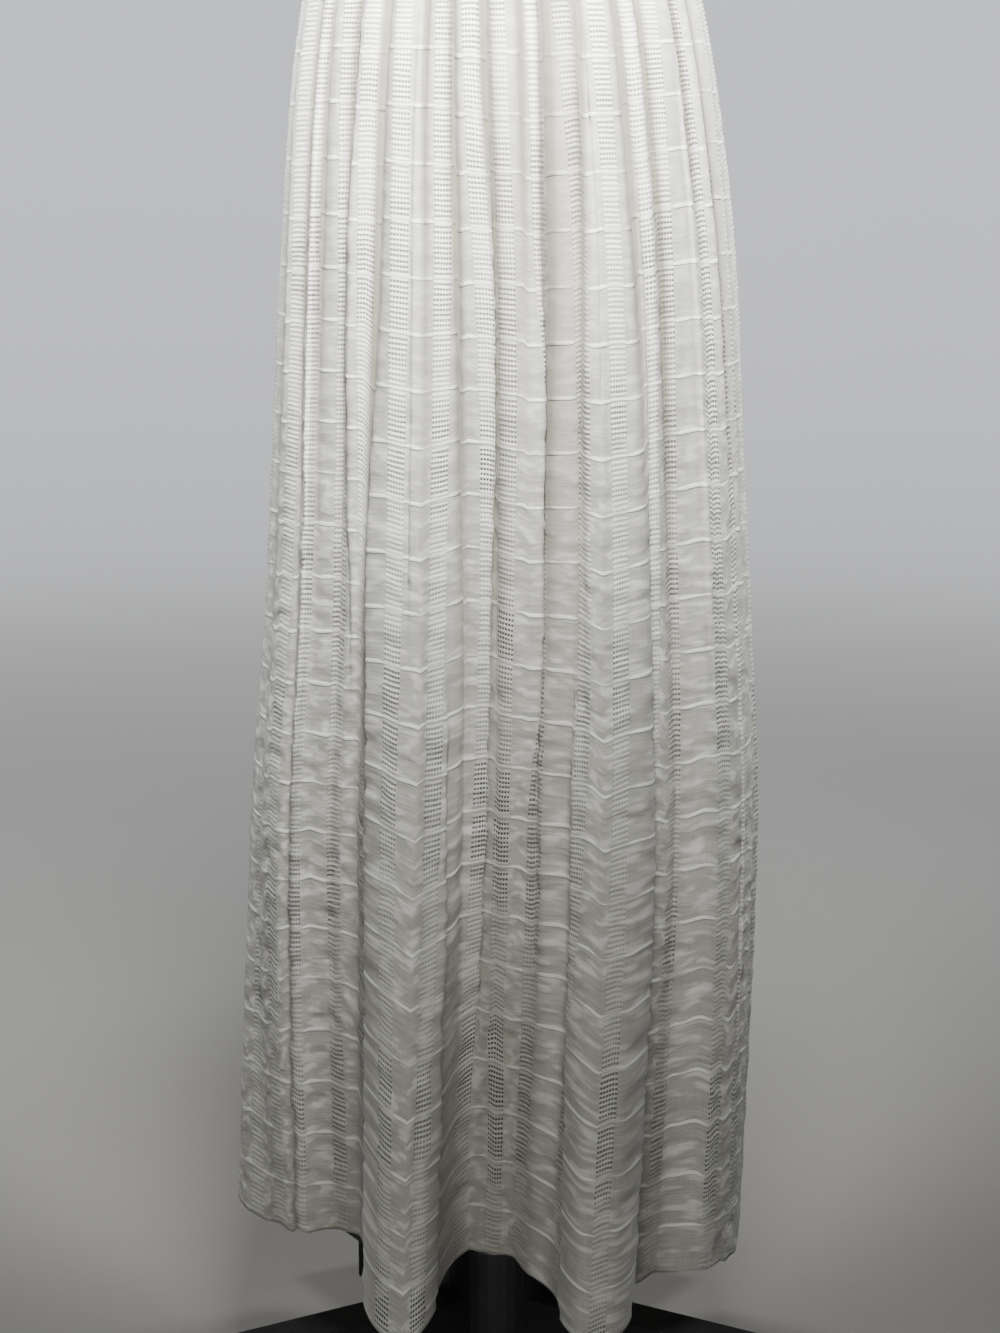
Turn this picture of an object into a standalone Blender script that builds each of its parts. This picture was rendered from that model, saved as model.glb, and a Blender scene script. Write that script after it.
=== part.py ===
"""A sleeveless maxi dress of openwork cotton gauze, worn by a limbless dress form on a four-legged stand.

Metres, +Z up, front of the dress towards -Y, origin on the floor under the middle of the stand.
The skirt is two straight widths of cloth gathered at the waist. Its surface is one formula: an oval
section at each height, pressed in by the gathers and pushed out by the large hanging folds.
"""

import math

import bmesh
import bpy
import numpy as np

SEAM_GAP = 0.0003
CLOTH = 0.002

# Heights of the waist seam, the lowest point of the hem and the underside of the form
WAIST_Z = 1.200
HEM_Z = 0.092
FORM_BOTTOM_Z = 0.800

# Skirt grid: columns across each half, a narrow one beside each side seam so that the two walls
# turn square to it, and rows as shares of the way from waist to hem
SKIRT_COLUMNS = 86
SEAM_COLUMN = 0.5
SKIRT_ROWS = (0.0, 0.016, 0.05, 0.12, 0.22, 0.34, 0.47, 0.60, 0.73, 0.87, 1.0)

# Oval of the skirt at each height: height, half width, half depth, shift towards +X
SKIRT_OVALS = (
    (0.090, 0.208, 0.136, -0.004),
    (0.230, 0.208, 0.137, 0.000),
    (0.450, 0.206, 0.139, 0.006),
    (0.690, 0.193, 0.139, 0.009),
    (0.900, 0.183, 0.138, 0.009),
    (1.060, 0.171, 0.134, 0.006),
    (1.140, 0.159, 0.125, 0.004),
    (1.185, 0.141, 0.111, 0.001),
    (1.201, 0.131, 0.101, 0.000),
)

# Gathers, each a narrow valley from the waist seam downwards. Angles run from the front, + towards +X.
# angle at waist, angle at knee, half width in degrees, then depth in mm at the waist, hip, knee and hem
GATHERS = (
    (-80.0, -77.0, 3.4, 8, 5, 2, 0),
    (-65.0, -60.0, 3.2, 9, 7, 6, 4),
    (-54.5, -53.0, 2.8, 7, 5, 2, 0),
    (-45.0, -46.0, 2.8, 9, 6, 3, 2),
    (-31.5, -37.0, 3.2, 9, 8, 8, 0),
    (-22.5, -20.5, 2.4, 8, 6, 4, 3),
    (-15.5, -10.5, 2.8, 8, 7, 6, 0),
    (-4.0, -1.5, 3.0, 9, 8, 9, 4),
    (3.5, 4.5, 2.2, 7, 3, 0, 0),
    (12.6, 8.5, 3.0, 10, 11, 9, 5),
    (20.0, 15.5, 2.6, 8, 6, 5, 0),
    (30.9, 34.5, 3.0, 9, 8, 9, 0),
    (41.5, 45.5, 3.0, 9, 7, 5, 2),
    (54.5, 57.0, 3.2, 9, 5, 3, 0),
    (68.0, 69.0, 3.4, 8, 6, 3, 2),
    (80.0, 81.0, 3.2, 8, 4, 2, 0),
    (98.0, 99.0, 3.2, 8, 5, 3, 0),
    (108.5, 110.0, 3.2, 9, 6, 4, 2),
    (119.0, 121.0, 2.8, 8, 5, 2, 0),
    (129.0, 133.0, 3.2, 9, 8, 7, 2),
    (140.5, 143.0, 2.8, 8, 5, 3, 0),
    (150.0, 153.5, 3.0, 9, 7, 6, 2),
    (160.0, 164.0, 2.8, 8, 6, 4, 0),
    (171.0, 173.0, 3.0, 9, 8, 8, 3),
    (-178.5, -177.0, 2.6, 8, 5, 2, 0),
    (-168.5, -168.0, 2.8, 9, 7, 5, 2),
    (-158.0, -155.0, 3.0, 8, 7, 7, 0),
    (-147.5, -146.0, 2.8, 9, 5, 3, 0),
    (-137.0, -134.0, 3.2, 8, 7, 6, 3),
    (-125.5, -124.0, 3.0, 9, 5, 3, 0),
    (-113.5, -112.0, 3.0, 8, 6, 4, 2),
    (-101.0, -100.0, 3.2, 8, 5, 2, 0),
)

# Large folds and hollows. angle at hip, angle at hem, direction pushed in degrees, half width in degrees,
# then the push in mm at the hip, knee and hem, below zero where the cloth falls inwards
FOLDS = (
    (-23.0, -22.0, 2.0, 9.0, 2, 16, 74),
    (26.0, 24.5, -3.0, 8.6, 4, 20, 72),
    (-4.0, -3.0, -3.0, 9.5, -3, -14, -44),
    (8.0, 8.5, 8.0, 7.0, -2, -8, -22),
    (-44.0, -42.0, -35.0, 11.0, -2, -8, -30),
    (-66.0, -64.0, -66.0, 13.0, 3, 4, -12),
    (42.0, 42.0, 38.0, 9.0, -2, -9, -20),
    (64.0, 64.0, 62.0, 14.0, 4, 8, 6),
    (-92.0, -93.0, -100.0, 13.0, 3, 6, 10),
    (94.0, 96.0, 92.0, 12.0, 3, 5, 2),
    (-116.0, -119.0, -112.0, 11.0, 2, 12, 34),
    (118.0, 117.0, 120.0, 11.0, -2, -6, -12),
    (139.0, 140.0, 140.0, 11.0, 4, 18, 46),
    (158.0, 159.0, 160.0, 9.0, -2, -9, -24),
    (177.0, 178.0, 176.0, 10.0, 3, 16, 42),
    (-162.0, -162.0, -162.0, 9.0, -2, -10, -26),
    (-142.0, -144.0, -142.0, 10.0, 4, 14, 40),
)

# Heights, as shares of the way from waist to hem, that the depths and pushes above belong to
GATHER_STATIONS = (0.0, 0.03, 0.26, 0.64, 1.0)
GATHER_AT_SEAM = 0.35
FOLD_STATIONS = (0.08, 0.28, 0.64, 1.0)

# How far the hem lies above its lowest point: angle, rise
HEM_RISES = (
    (-119.0, 0.034),
    (-90.0, 0.056),
    (-72.0, 0.044),
    (-38.0, 0.048),
    (-21.5, 0.000),
    (-6.0, 0.040),
    (3.0, 0.030),
    (11.0, 0.024),
    (22.5, 0.000),
    (44.0, 0.014),
    (90.0, 0.024),
    (140.0, 0.006),
    (178.0, 0.008),
    (216.0, 0.010),
)

# Dress form: height, half width, front depth, back depth
FORM_RINGS = (
    (0.800, 0.132, 0.088, 0.090),
    (0.812, 0.146, 0.099, 0.103),
    (0.880, 0.157, 0.108, 0.114),
    (0.960, 0.160, 0.110, 0.118),
    (1.040, 0.151, 0.105, 0.110),
    (1.120, 0.133, 0.096, 0.095),
    (1.200, 0.118, 0.088, 0.086),
    (1.280, 0.127, 0.098, 0.090),
    (1.350, 0.140, 0.114, 0.098),
    (1.420, 0.148, 0.111, 0.102),
    (1.480, 0.163, 0.098, 0.099),
    (1.525, 0.176, 0.081, 0.088),
    (1.550, 0.170, 0.069, 0.076),
    (1.567, 0.146, 0.062, 0.066),
    (1.582, 0.112, 0.058, 0.060),
    (1.598, 0.079, 0.055, 0.056),
    (1.618, 0.061, 0.053, 0.053),
    (1.660, 0.055, 0.050, 0.050),
    (1.690, 0.053, 0.049, 0.049),
)
FORM_COLUMNS = 48
BODICE_TOP_Z = 1.618

# Room between the form and the inside of the bodice: height, room
BODICE_ROOM = (
    (1.200, 0.0080),
    (1.350, 0.0050),
    (1.480, 0.0040),
    (1.550, 0.0012),
    (1.567, 0.0006),
    (1.618, 0.0006),
)

# Neck and armholes, as ovals cut through the bodice
NECK_Z = 1.612
NECK_HALF_WIDTH = 0.080
NECK_DROP_FRONT = 0.108
NECK_DROP_BACK = 0.046
ARMHOLE_Z = 1.482
ARMHOLE_HALF_DEPTH = 0.056
ARMHOLE_HALF_HEIGHT = 0.068
ARMHOLE_FROM_X = 0.115
CUTTER_REACH = 0.30
CUTTER_SIDES = 40

# Stand
POLE_RADIUS = 0.016
HUB_RADIUS = 0.050
HUB_HEIGHT = 0.115
HUB_EDGE = 0.004
LEG_ANGLES = (61.0, 119.0, 214.0, 326.0)
LEG_REACH = 0.255
LEG_WIDTH = 0.048
LEG_HEIGHT = 0.034
LEG_BOTTOM_Z = 0.036
LEG_EDGE = 0.003
FOOT_RADIUS = 0.019
FOOT_INSET = 0.030

MM = 0.001


def clear_scene():
    """Remove every object of the open file."""
    for thing in list(bpy.data.objects):
        bpy.data.objects.remove(thing, do_unlink=True)


def new_collection(name):
    """A collection linked to the scene."""
    collection = bpy.data.collections.new(name)
    bpy.context.scene.collection.children.link(collection)
    return collection


def material(name, colour, roughness, metallic=0.0):
    """A plain Principled surface."""
    mat = bpy.data.materials.new(name)
    mat.use_nodes = True
    shader = mat.node_tree.nodes["Principled BSDF"]
    shader.inputs["Base Color"].default_value = (*colour, 1.0)
    shader.inputs["Roughness"].default_value = roughness
    shader.inputs["Metallic"].default_value = metallic
    mat.diffuse_color = (*colour, 1.0)
    return mat


def through(stations, values, at):
    """A smooth curve through a column of values: cubic pieces whose slopes are flat at highs and lows."""
    x = np.asarray(stations, float)
    y = np.asarray(values, float)
    at = np.clip(np.asarray(at, float), x[0], x[-1])
    step = np.diff(x)
    rate = np.diff(y) / step
    before, after = rate[:-1], rate[1:]
    turning = before * after <= 0
    mean = np.where(turning, 1.0, before + after)
    inner = np.where(turning, 0.0, 2.0 * before * after / np.where(mean == 0, 1.0, mean))
    slope = np.concatenate(([rate[0]], inner, [rate[-1]]))
    k = np.clip(np.searchsorted(x, at, side="right") - 1, 0, len(step) - 1)
    s = (at - x[k]) / step[k]
    start = y[k] * (1 + 2 * s) * (1 - s) ** 2 + slope[k] * step[k] * s * (1 - s) ** 2
    end = y[k + 1] * s * s * (3 - 2 * s) + slope[k + 1] * step[k] * s * s * (s - 1)
    return start + end


def column(table, number):
    """One column of a table."""
    return [row[number] for row in table]


def turn_between(angle, centre):
    """The difference of two angles in degrees, from -180 to 180."""
    return (angle - centre + 180.0) % 360.0 - 180.0


def hem_height(angle):
    """Height of the hem's edge round the skirt."""
    return HEM_Z + np.interp(angle, column(HEM_RISES, 0), column(HEM_RISES, 1), period=360.0)


def skirt_points(angle, share):
    """Points of the skirt's outer face.

    angle is the place round the waist in degrees, share the way from waist to hem. The oval at that
    height is pressed in along its own normal by each gather, exp(-q^2) across its width, and pushed
    along each large fold's own direction by exp(-q^4).
    """
    z = WAIST_Z + (hem_height(angle) - WAIST_Z) * share
    heights = column(SKIRT_OVALS, 0)
    half_width = through(heights, column(SKIRT_OVALS, 1), z)
    half_depth = through(heights, column(SKIRT_OVALS, 2), z)
    shift = through(heights, column(SKIRT_OVALS, 3), z)
    turn = np.radians(angle)
    x = half_width * np.sin(turn)
    y = -half_depth * np.cos(turn)

    out_x = np.sin(turn) / half_width
    out_y = -np.cos(turn) / half_depth
    length = np.hypot(out_x, out_y)
    pressed = np.zeros_like(x)
    for at_waist, at_knee, width, waist, hip, knee, hem in GATHERS:
        centre = at_waist + (at_knee - at_waist) * np.clip(share / GATHER_STATIONS[3], 0.0, 1.0)
        depths = (waist * GATHER_AT_SEAM, waist, hip, knee, hem)
        depth = through(GATHER_STATIONS, depths, share) * MM
        pressed += depth * np.exp(-(turn_between(angle, centre) / width) ** 2)
    x -= pressed * out_x / length
    y -= pressed * out_y / length

    for at_hip, at_hem, direction, width, hip, knee, hem in FOLDS:
        centre = at_hip + (at_hem - at_hip) * share
        push = through(FOLD_STATIONS, (0.0, hip, knee, hem), share) * MM
        bump = push * np.exp(-(turn_between(angle, centre) / width) ** 4)
        x += bump * math.sin(math.radians(direction))
        y -= bump * math.cos(math.radians(direction))
    return np.stack((x + shift, y, z), axis=-1)


def cloth_columns(first, last, count):
    """Angles of the grid's columns: spaced halfway between even angles and even lengths along the hem."""
    dense = np.linspace(first, last, 2001)
    hem = skirt_points(dense, np.ones_like(dense))
    length = np.concatenate(([0.0], np.cumsum(np.linalg.norm(np.diff(hem, axis=0), axis=1))))
    even = (dense - first) / (last - first)
    angles = np.interp(np.linspace(0.0, 1.0, count + 1), 0.5 * (even + length / length[-1]), dense)
    return np.concatenate(([first, first + SEAM_COLUMN], angles[1:-1], [last - SEAM_COLUMN, last]))


def grid_mesh(name, points, flip=False):
    """A mesh over a grid of points with rows and columns, one face for each cell."""
    rows, columns = points.shape[:2]
    index = np.arange(rows * columns).reshape(rows, columns)
    corners = (index[:-1, :-1], index[1:, :-1], index[1:, 1:], index[:-1, 1:])
    faces = np.stack(corners, axis=-1).reshape(-1, 4)
    if flip:
        faces = faces[:, ::-1]
    mesh = bpy.data.meshes.new(name)
    mesh.from_pydata(points.reshape(-1, 3).tolist(), [], faces.tolist())
    mesh.shade_smooth()
    return mesh


def add_object(name, mesh, collection, mat):
    """An object of a mesh, with its material, in a collection."""
    thing = bpy.data.objects.new(name, mesh)
    mesh.materials.append(mat)
    collection.objects.link(thing)
    return thing


def add_wall(thing, thickness, offset):
    """Give an open surface the thickness of cloth; offset 1 grows outwards and -1 inwards."""
    wall = thing.modifiers.new("wall", "SOLIDIFY")
    wall.thickness = thickness
    wall.offset = offset
    return wall


def skirt_half(name, first, last, seam_shift, collection, mat):
    """One width of cloth from side seam to side seam, from the waist seam to the hem."""
    angle, share = np.meshgrid(cloth_columns(first, last, SKIRT_COLUMNS), SKIRT_ROWS)
    points = skirt_points(angle, share)
    points[..., 1] += seam_shift
    thing = add_object(name, grid_mesh(name, points), collection, mat)
    add_wall(thing, CLOTH, -1.0)
    return thing


def form_points(angle, z):
    """Points of the dress form's surface: an oval at each height, deeper in front or behind."""
    heights = column(FORM_RINGS, 0)
    turn = np.radians(angle)
    half_width = through(heights, column(FORM_RINGS, 1), z)
    front = through(heights, column(FORM_RINGS, 2), z)
    back = through(heights, column(FORM_RINGS, 3), z)
    depth = np.where(np.cos(turn) >= 0, front, back)
    return np.stack((half_width * np.sin(turn), -depth * np.cos(turn), z), axis=-1)


def form_normals(angle, z):
    """Outward directions of the dress form's surface, from its slopes round and up."""
    step_angle, step_z = 0.5, 0.0005
    around = form_points(angle + step_angle, z) - form_points(angle - step_angle, z)
    upwards = form_points(angle, z + step_z) - form_points(angle, z - step_z)
    normal = np.cross(around, upwards)
    return normal / np.linalg.norm(normal, axis=-1, keepdims=True)


def bodice_half(name, first, last, seam_shift, collection, mat):
    """A plain panel a little outside the form, before the neck and the armholes are cut."""
    heights = [height for height in column(FORM_RINGS, 0) if WAIST_Z <= height <= BODICE_TOP_Z]
    angles = np.linspace(first, last, FORM_COLUMNS // 2 + 1)
    angle, z = np.meshgrid(angles, heights)
    room = through(column(BODICE_ROOM, 0), column(BODICE_ROOM, 1), z)
    points = form_points(angle, z) + room[..., None] * form_normals(angle, z)
    points[0, :, 2] = WAIST_Z + SEAM_GAP
    points[..., 1] += seam_shift
    thing = add_object(name, grid_mesh(name, points, flip=True), collection, mat)
    add_wall(thing, CLOTH, 1.0)
    return thing


def oval_cutter(name, centre, along, half_across, half_up, collection):
    """An oval bar along X or Y; half_across and half_up are its half sizes across and in height."""
    bpy.ops.mesh.primitive_cylinder_add(vertices=CUTTER_SIDES, radius=1.0, depth=CUTTER_REACH)
    bar = bpy.context.object
    bar.name = name
    mesh = bar.data
    size = len(mesh.vertices)
    points = np.empty(size * 3)
    mesh.vertices.foreach_get("co", points)
    points = points.reshape(-1, 3)
    across, up, axis = points[:, 0] * half_across, points[:, 1] * half_up, points[:, 2]
    if along == "X":
        placed = np.stack((axis, across, up), axis=-1)
    else:
        placed = np.stack((-across, axis, up), axis=-1)
    placed += np.asarray(centre)
    mesh.vertices.foreach_set("co", placed.astype(np.float32).ravel())
    mesh.update()
    for other in list(bar.users_collection):
        other.objects.unlink(bar)
    collection.objects.link(bar)
    bar.hide_render = True
    bar.display_type = "WIRE"
    return bar


def cut(thing, cutter):
    """Cut one shape out of another."""
    step = thing.modifiers.new(cutter.name, "BOOLEAN")
    step.operation = "DIFFERENCE"
    step.solver = "EXACT"
    step.object = cutter


def dress_form(collection, mat):
    """The limbless form as one closed skin from its underside to the top of its neck."""
    heights = np.asarray(column(FORM_RINGS, 0))
    angles = np.arange(FORM_COLUMNS) * 360.0 / FORM_COLUMNS - 90.0
    angle, z = np.meshgrid(angles, heights)
    points = form_points(angle, z)
    skin = bmesh.new()
    rings = [[skin.verts.new(point) for point in ring] for ring in points]
    for lower, upper in zip(rings, rings[1:]):
        for i in range(FORM_COLUMNS):
            j = (i + 1) % FORM_COLUMNS
            skin.faces.new((lower[i], lower[j], upper[j], upper[i]))
    skin.faces.new(rings[0][::-1])
    skin.faces.new(rings[-1])
    mesh = bpy.data.meshes.new("dress_form")
    skin.to_mesh(mesh)
    skin.free()
    mesh.shade_smooth()
    return add_object("dress_form", mesh, collection, mat)


def cylinder(name, radius, bottom, top, sides, x, y, collection, mat, edge=0.0):
    """An upright round bar from bottom to top, its rims rounded where an edge is given."""
    shape = bmesh.new()
    bmesh.ops.create_cone(shape, cap_ends=True, segments=sides, radius1=radius, radius2=radius, depth=top - bottom)
    mesh = bpy.data.meshes.new(name)
    shape.to_mesh(mesh)
    shape.free()
    mesh.shade_smooth()
    thing = add_object(name, mesh, collection, mat)
    thing.location = (x, y, 0.5 * (bottom + top))
    if edge:
        add_bevel(thing, edge)
    return thing


def add_bevel(thing, width):
    """Round the sharp edges of a shape."""
    bevel = thing.modifiers.new("rounded edges", "BEVEL")
    bevel.width = width
    bevel.segments = 2
    bevel.limit_method = "ANGLE"
    return bevel


def leg(number, angle, collection, mat, hub_cutter):
    """A flat bar from the hub outwards, with its inner end hollowed to the hub's round."""
    inner = 0.6 * HUB_RADIUS
    length = LEG_REACH - inner
    name = f"leg_{number}"
    shape = bmesh.new()
    bmesh.ops.create_cube(shape, size=1.0)
    bmesh.ops.scale(shape, vec=(length, LEG_WIDTH, LEG_HEIGHT), verts=shape.verts)
    mesh = bpy.data.meshes.new(name)
    shape.to_mesh(mesh)
    shape.free()
    thing = add_object(name, mesh, collection, mat)
    turn = math.radians(angle)
    middle = 0.5 * (inner + LEG_REACH)
    thing.location = (middle * math.cos(turn), middle * math.sin(turn), LEG_BOTTOM_Z + 0.5 * LEG_HEIGHT)
    thing.rotation_euler = (0.0, 0.0, turn)
    add_bevel(thing, LEG_EDGE)
    cut(thing, hub_cutter)
    return thing


def build_dress(parts, cutters):
    """The four sewn pieces, with the neck and armholes cut."""
    cloth = material("white_gauze", (0.86, 0.85, 0.80), 0.9)
    half_gap = 0.5 * SEAM_GAP
    skirt_half("skirt_front", -90.0, 90.0, -half_gap, parts, cloth)
    skirt_half("skirt_back", 90.0, 270.0, half_gap, parts, cloth)
    front = bodice_half("bodice_front", -90.0, 90.0, -half_gap, parts, cloth)
    back = bodice_half("bodice_back", 90.0, 270.0, half_gap, parts, cloth)

    reach = 0.5 * CUTTER_REACH
    cut(front, oval_cutter("cut_neck_front", (0, -reach, NECK_Z), "Y", NECK_HALF_WIDTH, NECK_DROP_FRONT, cutters))
    cut(back, oval_cutter("cut_neck_back", (0, reach, NECK_Z), "Y", NECK_HALF_WIDTH, NECK_DROP_BACK, cutters))
    for side, label in ((-1, "left"), (1, "right")):
        centre = (side * (ARMHOLE_FROM_X + reach), 0, ARMHOLE_Z)
        name = f"cut_armhole_{label}"
        hole = oval_cutter(name, centre, "X", ARMHOLE_HALF_DEPTH, ARMHOLE_HALF_HEIGHT, cutters)
        cut(front, hole)
        cut(back, hole)


def build_stand(parts, cutters):
    """The form, its pole, the hub and the four legs on their feet."""
    linen = material("form_jersey", (0.62, 0.57, 0.49), 0.85)
    black = material("black_paint", (0.012, 0.012, 0.012), 0.45)
    rubber = material("black_rubber", (0.02, 0.02, 0.02), 0.8)
    dress_form(parts, linen)
    cylinder("pole", POLE_RADIUS, HUB_HEIGHT + SEAM_GAP, FORM_BOTTOM_Z - SEAM_GAP, 24, 0, 0, parts, black)
    cylinder("hub", HUB_RADIUS, 0.0, HUB_HEIGHT, 40, 0, 0, parts, black, edge=HUB_EDGE)
    round_cut = cylinder("cut_hub", HUB_RADIUS + SEAM_GAP, -0.05, HUB_HEIGHT + 0.05, 40, 0, 0, cutters, black)
    round_cut.hide_render = True
    round_cut.display_type = "WIRE"
    for number, angle in enumerate(LEG_ANGLES, start=1):
        leg(number, angle, parts, black, round_cut)
        reach = LEG_REACH - FOOT_INSET
        x = reach * math.cos(math.radians(angle))
        y = reach * math.sin(math.radians(angle))
        cylinder(f"foot_{number}", FOOT_RADIUS, 0.0, LEG_BOTTOM_Z - SEAM_GAP, 20, x, y, parts, rubber)


def main():
    clear_scene()
    parts = new_collection("maxi_dress_on_form")
    cutters = new_collection("cutters")
    build_dress(parts, cutters)
    build_stand(parts, cutters)


main()
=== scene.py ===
# %% [markdown]
# # A gauze maxi dress on a dress form
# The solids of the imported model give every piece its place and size. This script dresses them:
# each width of cloth becomes a fine grid worked out with numpy, and each finish a small set of
# shader nodes. Loading the frame comes first, because every later cell measures against it.

# %% Load the frame
import math

import bmesh
import bpy
import numpy as np
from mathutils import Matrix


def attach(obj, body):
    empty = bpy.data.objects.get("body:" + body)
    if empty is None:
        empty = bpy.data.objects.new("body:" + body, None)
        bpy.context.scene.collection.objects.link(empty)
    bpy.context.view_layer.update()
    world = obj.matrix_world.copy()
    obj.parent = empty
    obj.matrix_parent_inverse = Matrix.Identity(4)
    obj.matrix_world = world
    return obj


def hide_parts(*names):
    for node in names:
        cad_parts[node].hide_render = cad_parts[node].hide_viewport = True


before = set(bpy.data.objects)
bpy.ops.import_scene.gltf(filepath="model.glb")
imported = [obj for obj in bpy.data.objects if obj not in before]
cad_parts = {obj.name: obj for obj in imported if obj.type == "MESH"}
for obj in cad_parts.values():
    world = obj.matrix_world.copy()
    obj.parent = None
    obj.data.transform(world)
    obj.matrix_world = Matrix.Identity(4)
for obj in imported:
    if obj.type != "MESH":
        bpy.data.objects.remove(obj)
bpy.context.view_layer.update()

MM = 0.001

# %% [markdown]
# ## The camera
# The dress was seen from the front, from a metre above the floor, looking a little down, with a
# long lens. A camera placed by the same sizes gives the same outline: the lens follows from the
# size of the picture and its focal length in pixels, and the small shift moves the pole's axis
# just left of the middle.

# %% Camera
PICTURE_HEIGHT = 1333
FOCAL_PIXELS = 2940
AXIS_SHIFT_PIXELS = 3
CAMERA_PLACE = (0.0, -2.4, 1.0)
CAMERA_TILT = 9.4
SENSOR = 36.0

lens = bpy.data.cameras.new("camera")
lens.sensor_width = SENSOR
lens.lens = FOCAL_PIXELS / PICTURE_HEIGHT * SENSOR
lens.shift_x = AXIS_SHIFT_PIXELS / PICTURE_HEIGHT
camera = bpy.data.objects.new("camera", lens)
camera.location = CAMERA_PLACE
camera.rotation_euler = (math.radians(90.0 - CAMERA_TILT), 0.0, 0.0)
bpy.context.scene.collection.objects.link(camera)
bpy.context.scene.camera = camera
print("lens", round(lens.lens, 1), "mm")

# %% [markdown]
# ## Light
# A window or a ceiling lamp high in front lights the waist strongly and leaves the hem in soft
# shade. One area light high up, with a narrow spread, gives that fall from bright to dim. A weak
# and narrow one in front evens out the hips, another, low in front, softens the shade below, two
# behind keep the back readable, and a pale world fills the shadows.

# %% Lights
LIGHTS = (
    # name, place, aim, width, height, spread in degrees, watts
    ("key", (0.10, -0.95, 2.15), (0.0, -0.12, 1.31), 0.45, 0.3, 40.0, 12.2),
    ("waist_front", (-0.5, -2.5, 1.45), (0.0, 0.0, 1.20), 0.4, 0.4, 24.0, 1.9),
    ("front_fill", (-0.3, -2.7, 0.8), (0.0, 0.0, 0.40), 1.4, 0.8, 60.0, 3.1),
    ("left_back", (-1.1, 1.1, 2.3), (0.0, 0.0, 1.4), 0.6, 0.6, 80.0, 10.5),
    ("right_back", (1.2, 0.9, 2.3), (0.0, 0.0, 1.4), 0.6, 0.6, 80.0, 9.5),
)
WORLD_COLOUR = (0.93, 0.96, 1.0)
WORLD_STRENGTH = 0.05


def add_light(name, place, aim, width, height, spread, watts):
    """A rectangular lamp at one point, turned to face another, and itself unseen."""
    lamp = bpy.data.lights.new(name, "AREA")
    lamp.shape = "RECTANGLE"
    lamp.size = width
    lamp.size_y = height
    lamp.spread = math.radians(spread)
    lamp.energy = watts
    thing = bpy.data.objects.new(name, lamp)
    from_to = np.subtract(aim, place)
    flat = math.hypot(from_to[0], from_to[1])
    turn = math.atan2(-from_to[0], from_to[1])
    thing.rotation_euler = (math.atan2(flat, -from_to[2]), 0.0, turn)
    thing.location = place
    thing.visible_camera = False
    bpy.context.scene.collection.objects.link(thing)


for row in LIGHTS:
    add_light(*row)
world = bpy.data.worlds.new("studio")
world.use_nodes = True
sky = world.node_tree.nodes["Background"].inputs
sky["Color"].default_value = (*WORLD_COLOUR, 1.0)
sky["Strength"].default_value = WORLD_STRENGTH
bpy.context.scene.world = world
print("lights:", len(LIGHTS))

# %% [markdown]
# ## Small helpers
# Nodes are quicker to read when each is one line. `node` adds one and sets its inputs, joining
# those that are given as sockets, and `feed` sets sockets by name. `maths`, `times`, `plus`,
# `noise`, `ramp`, `blend_colour` and `bump` stand for the nodes that are used most, and
# `new_group` and `use_group` make a node group and place it. The mesh helpers turn a grid of
# points into a smooth surface with its own flat cloth coordinates.


# %% Node helpers
def put(tree, socket, value):
    """Joins a socket to another one, or gives it a plain value."""
    if isinstance(value, bpy.types.NodeSocket):
        tree.links.new(value, socket)
    else:
        socket.default_value = value


def feed(tree, sockets, **values):
    """Sets named sockets; underscores stand for spaces."""
    for key, value in values.items():
        put(tree, sockets[key.replace("_", " ")], value)


def node(tree, kind, inputs=(), **settings):
    """A node of a kind, with its settings, and its inputs set by number or by name."""
    made = tree.nodes.new(kind)
    for key, value in settings.items():
        setattr(made, key, value)
    for key, value in dict(inputs).items():
        put(tree, made.inputs[key], value)
    return made


def maths(tree, operation, *values, clamp=False):
    """The result of a Math node on numbers or sockets."""
    settings = {"operation": operation, "use_clamp": clamp}
    return node(tree, "ShaderNodeMath", enumerate(values), **settings).outputs[0]


def times(tree, first, *others, clamp=False):
    """Numbers or sockets multiplied, from left to right."""
    for other in others:
        first = maths(tree, "MULTIPLY", first, other, clamp=clamp)
    return first


def plus(tree, first, *others):
    """Numbers or sockets added, from left to right."""
    for other in others:
        first = maths(tree, "ADD", first, other)
    return first


def noise(tree, place, scale, detail):
    """The value of a Noise Texture at a place."""
    inputs = {"Vector": place, "Scale": scale, "Detail": detail}
    return node(tree, "ShaderNodeTexNoise", inputs).outputs[0]


def ramp(tree, value, low, high, start=0.0, end=1.0):
    """A smooth step: start where value is at low, end where it is at high."""
    inputs = {"Value": value, "From Min": low, "From Max": high, "To Min": start, "To Max": end}
    return node(tree, "ShaderNodeMapRange", inputs, interpolation_type="SMOOTHSTEP").outputs[0]


def blend_colour(tree, factor, first, second):
    """A colour between two, by a factor."""
    inputs = {0: factor, 6: first, 7: second}
    return node(tree, "ShaderNodeMix", inputs, data_type="RGBA").outputs[2]


def bump(tree, shader, height, strength, distance):
    """Small relief from a height, joined to the shader's Normal."""
    inputs = {"Strength": strength, "Distance": distance, "Height": height}
    feed(tree, shader.inputs, Normal=node(tree, "ShaderNodeBump", inputs).outputs[0])


def axes_of(tree, place):
    """The three numbers of a place."""
    return node(tree, "ShaderNodeSeparateXYZ", {0: place}).outputs


def new_group(name, inputs, outputs):
    """An empty shader group with named inputs (with defaults) and outputs."""
    tree = bpy.data.node_groups.new(name, "ShaderNodeTree")
    for label, kind, value in inputs:
        socket = tree.interface.new_socket(label, in_out="INPUT", socket_type=kind)
        if value is not None:
            socket.default_value = value
    for label in outputs:
        tree.interface.new_socket(label, in_out="OUTPUT", socket_type="NodeSocketFloat")
    return tree, tree.nodes.new("NodeGroupInput").outputs, tree.nodes.new("NodeGroupOutput").inputs


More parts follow.
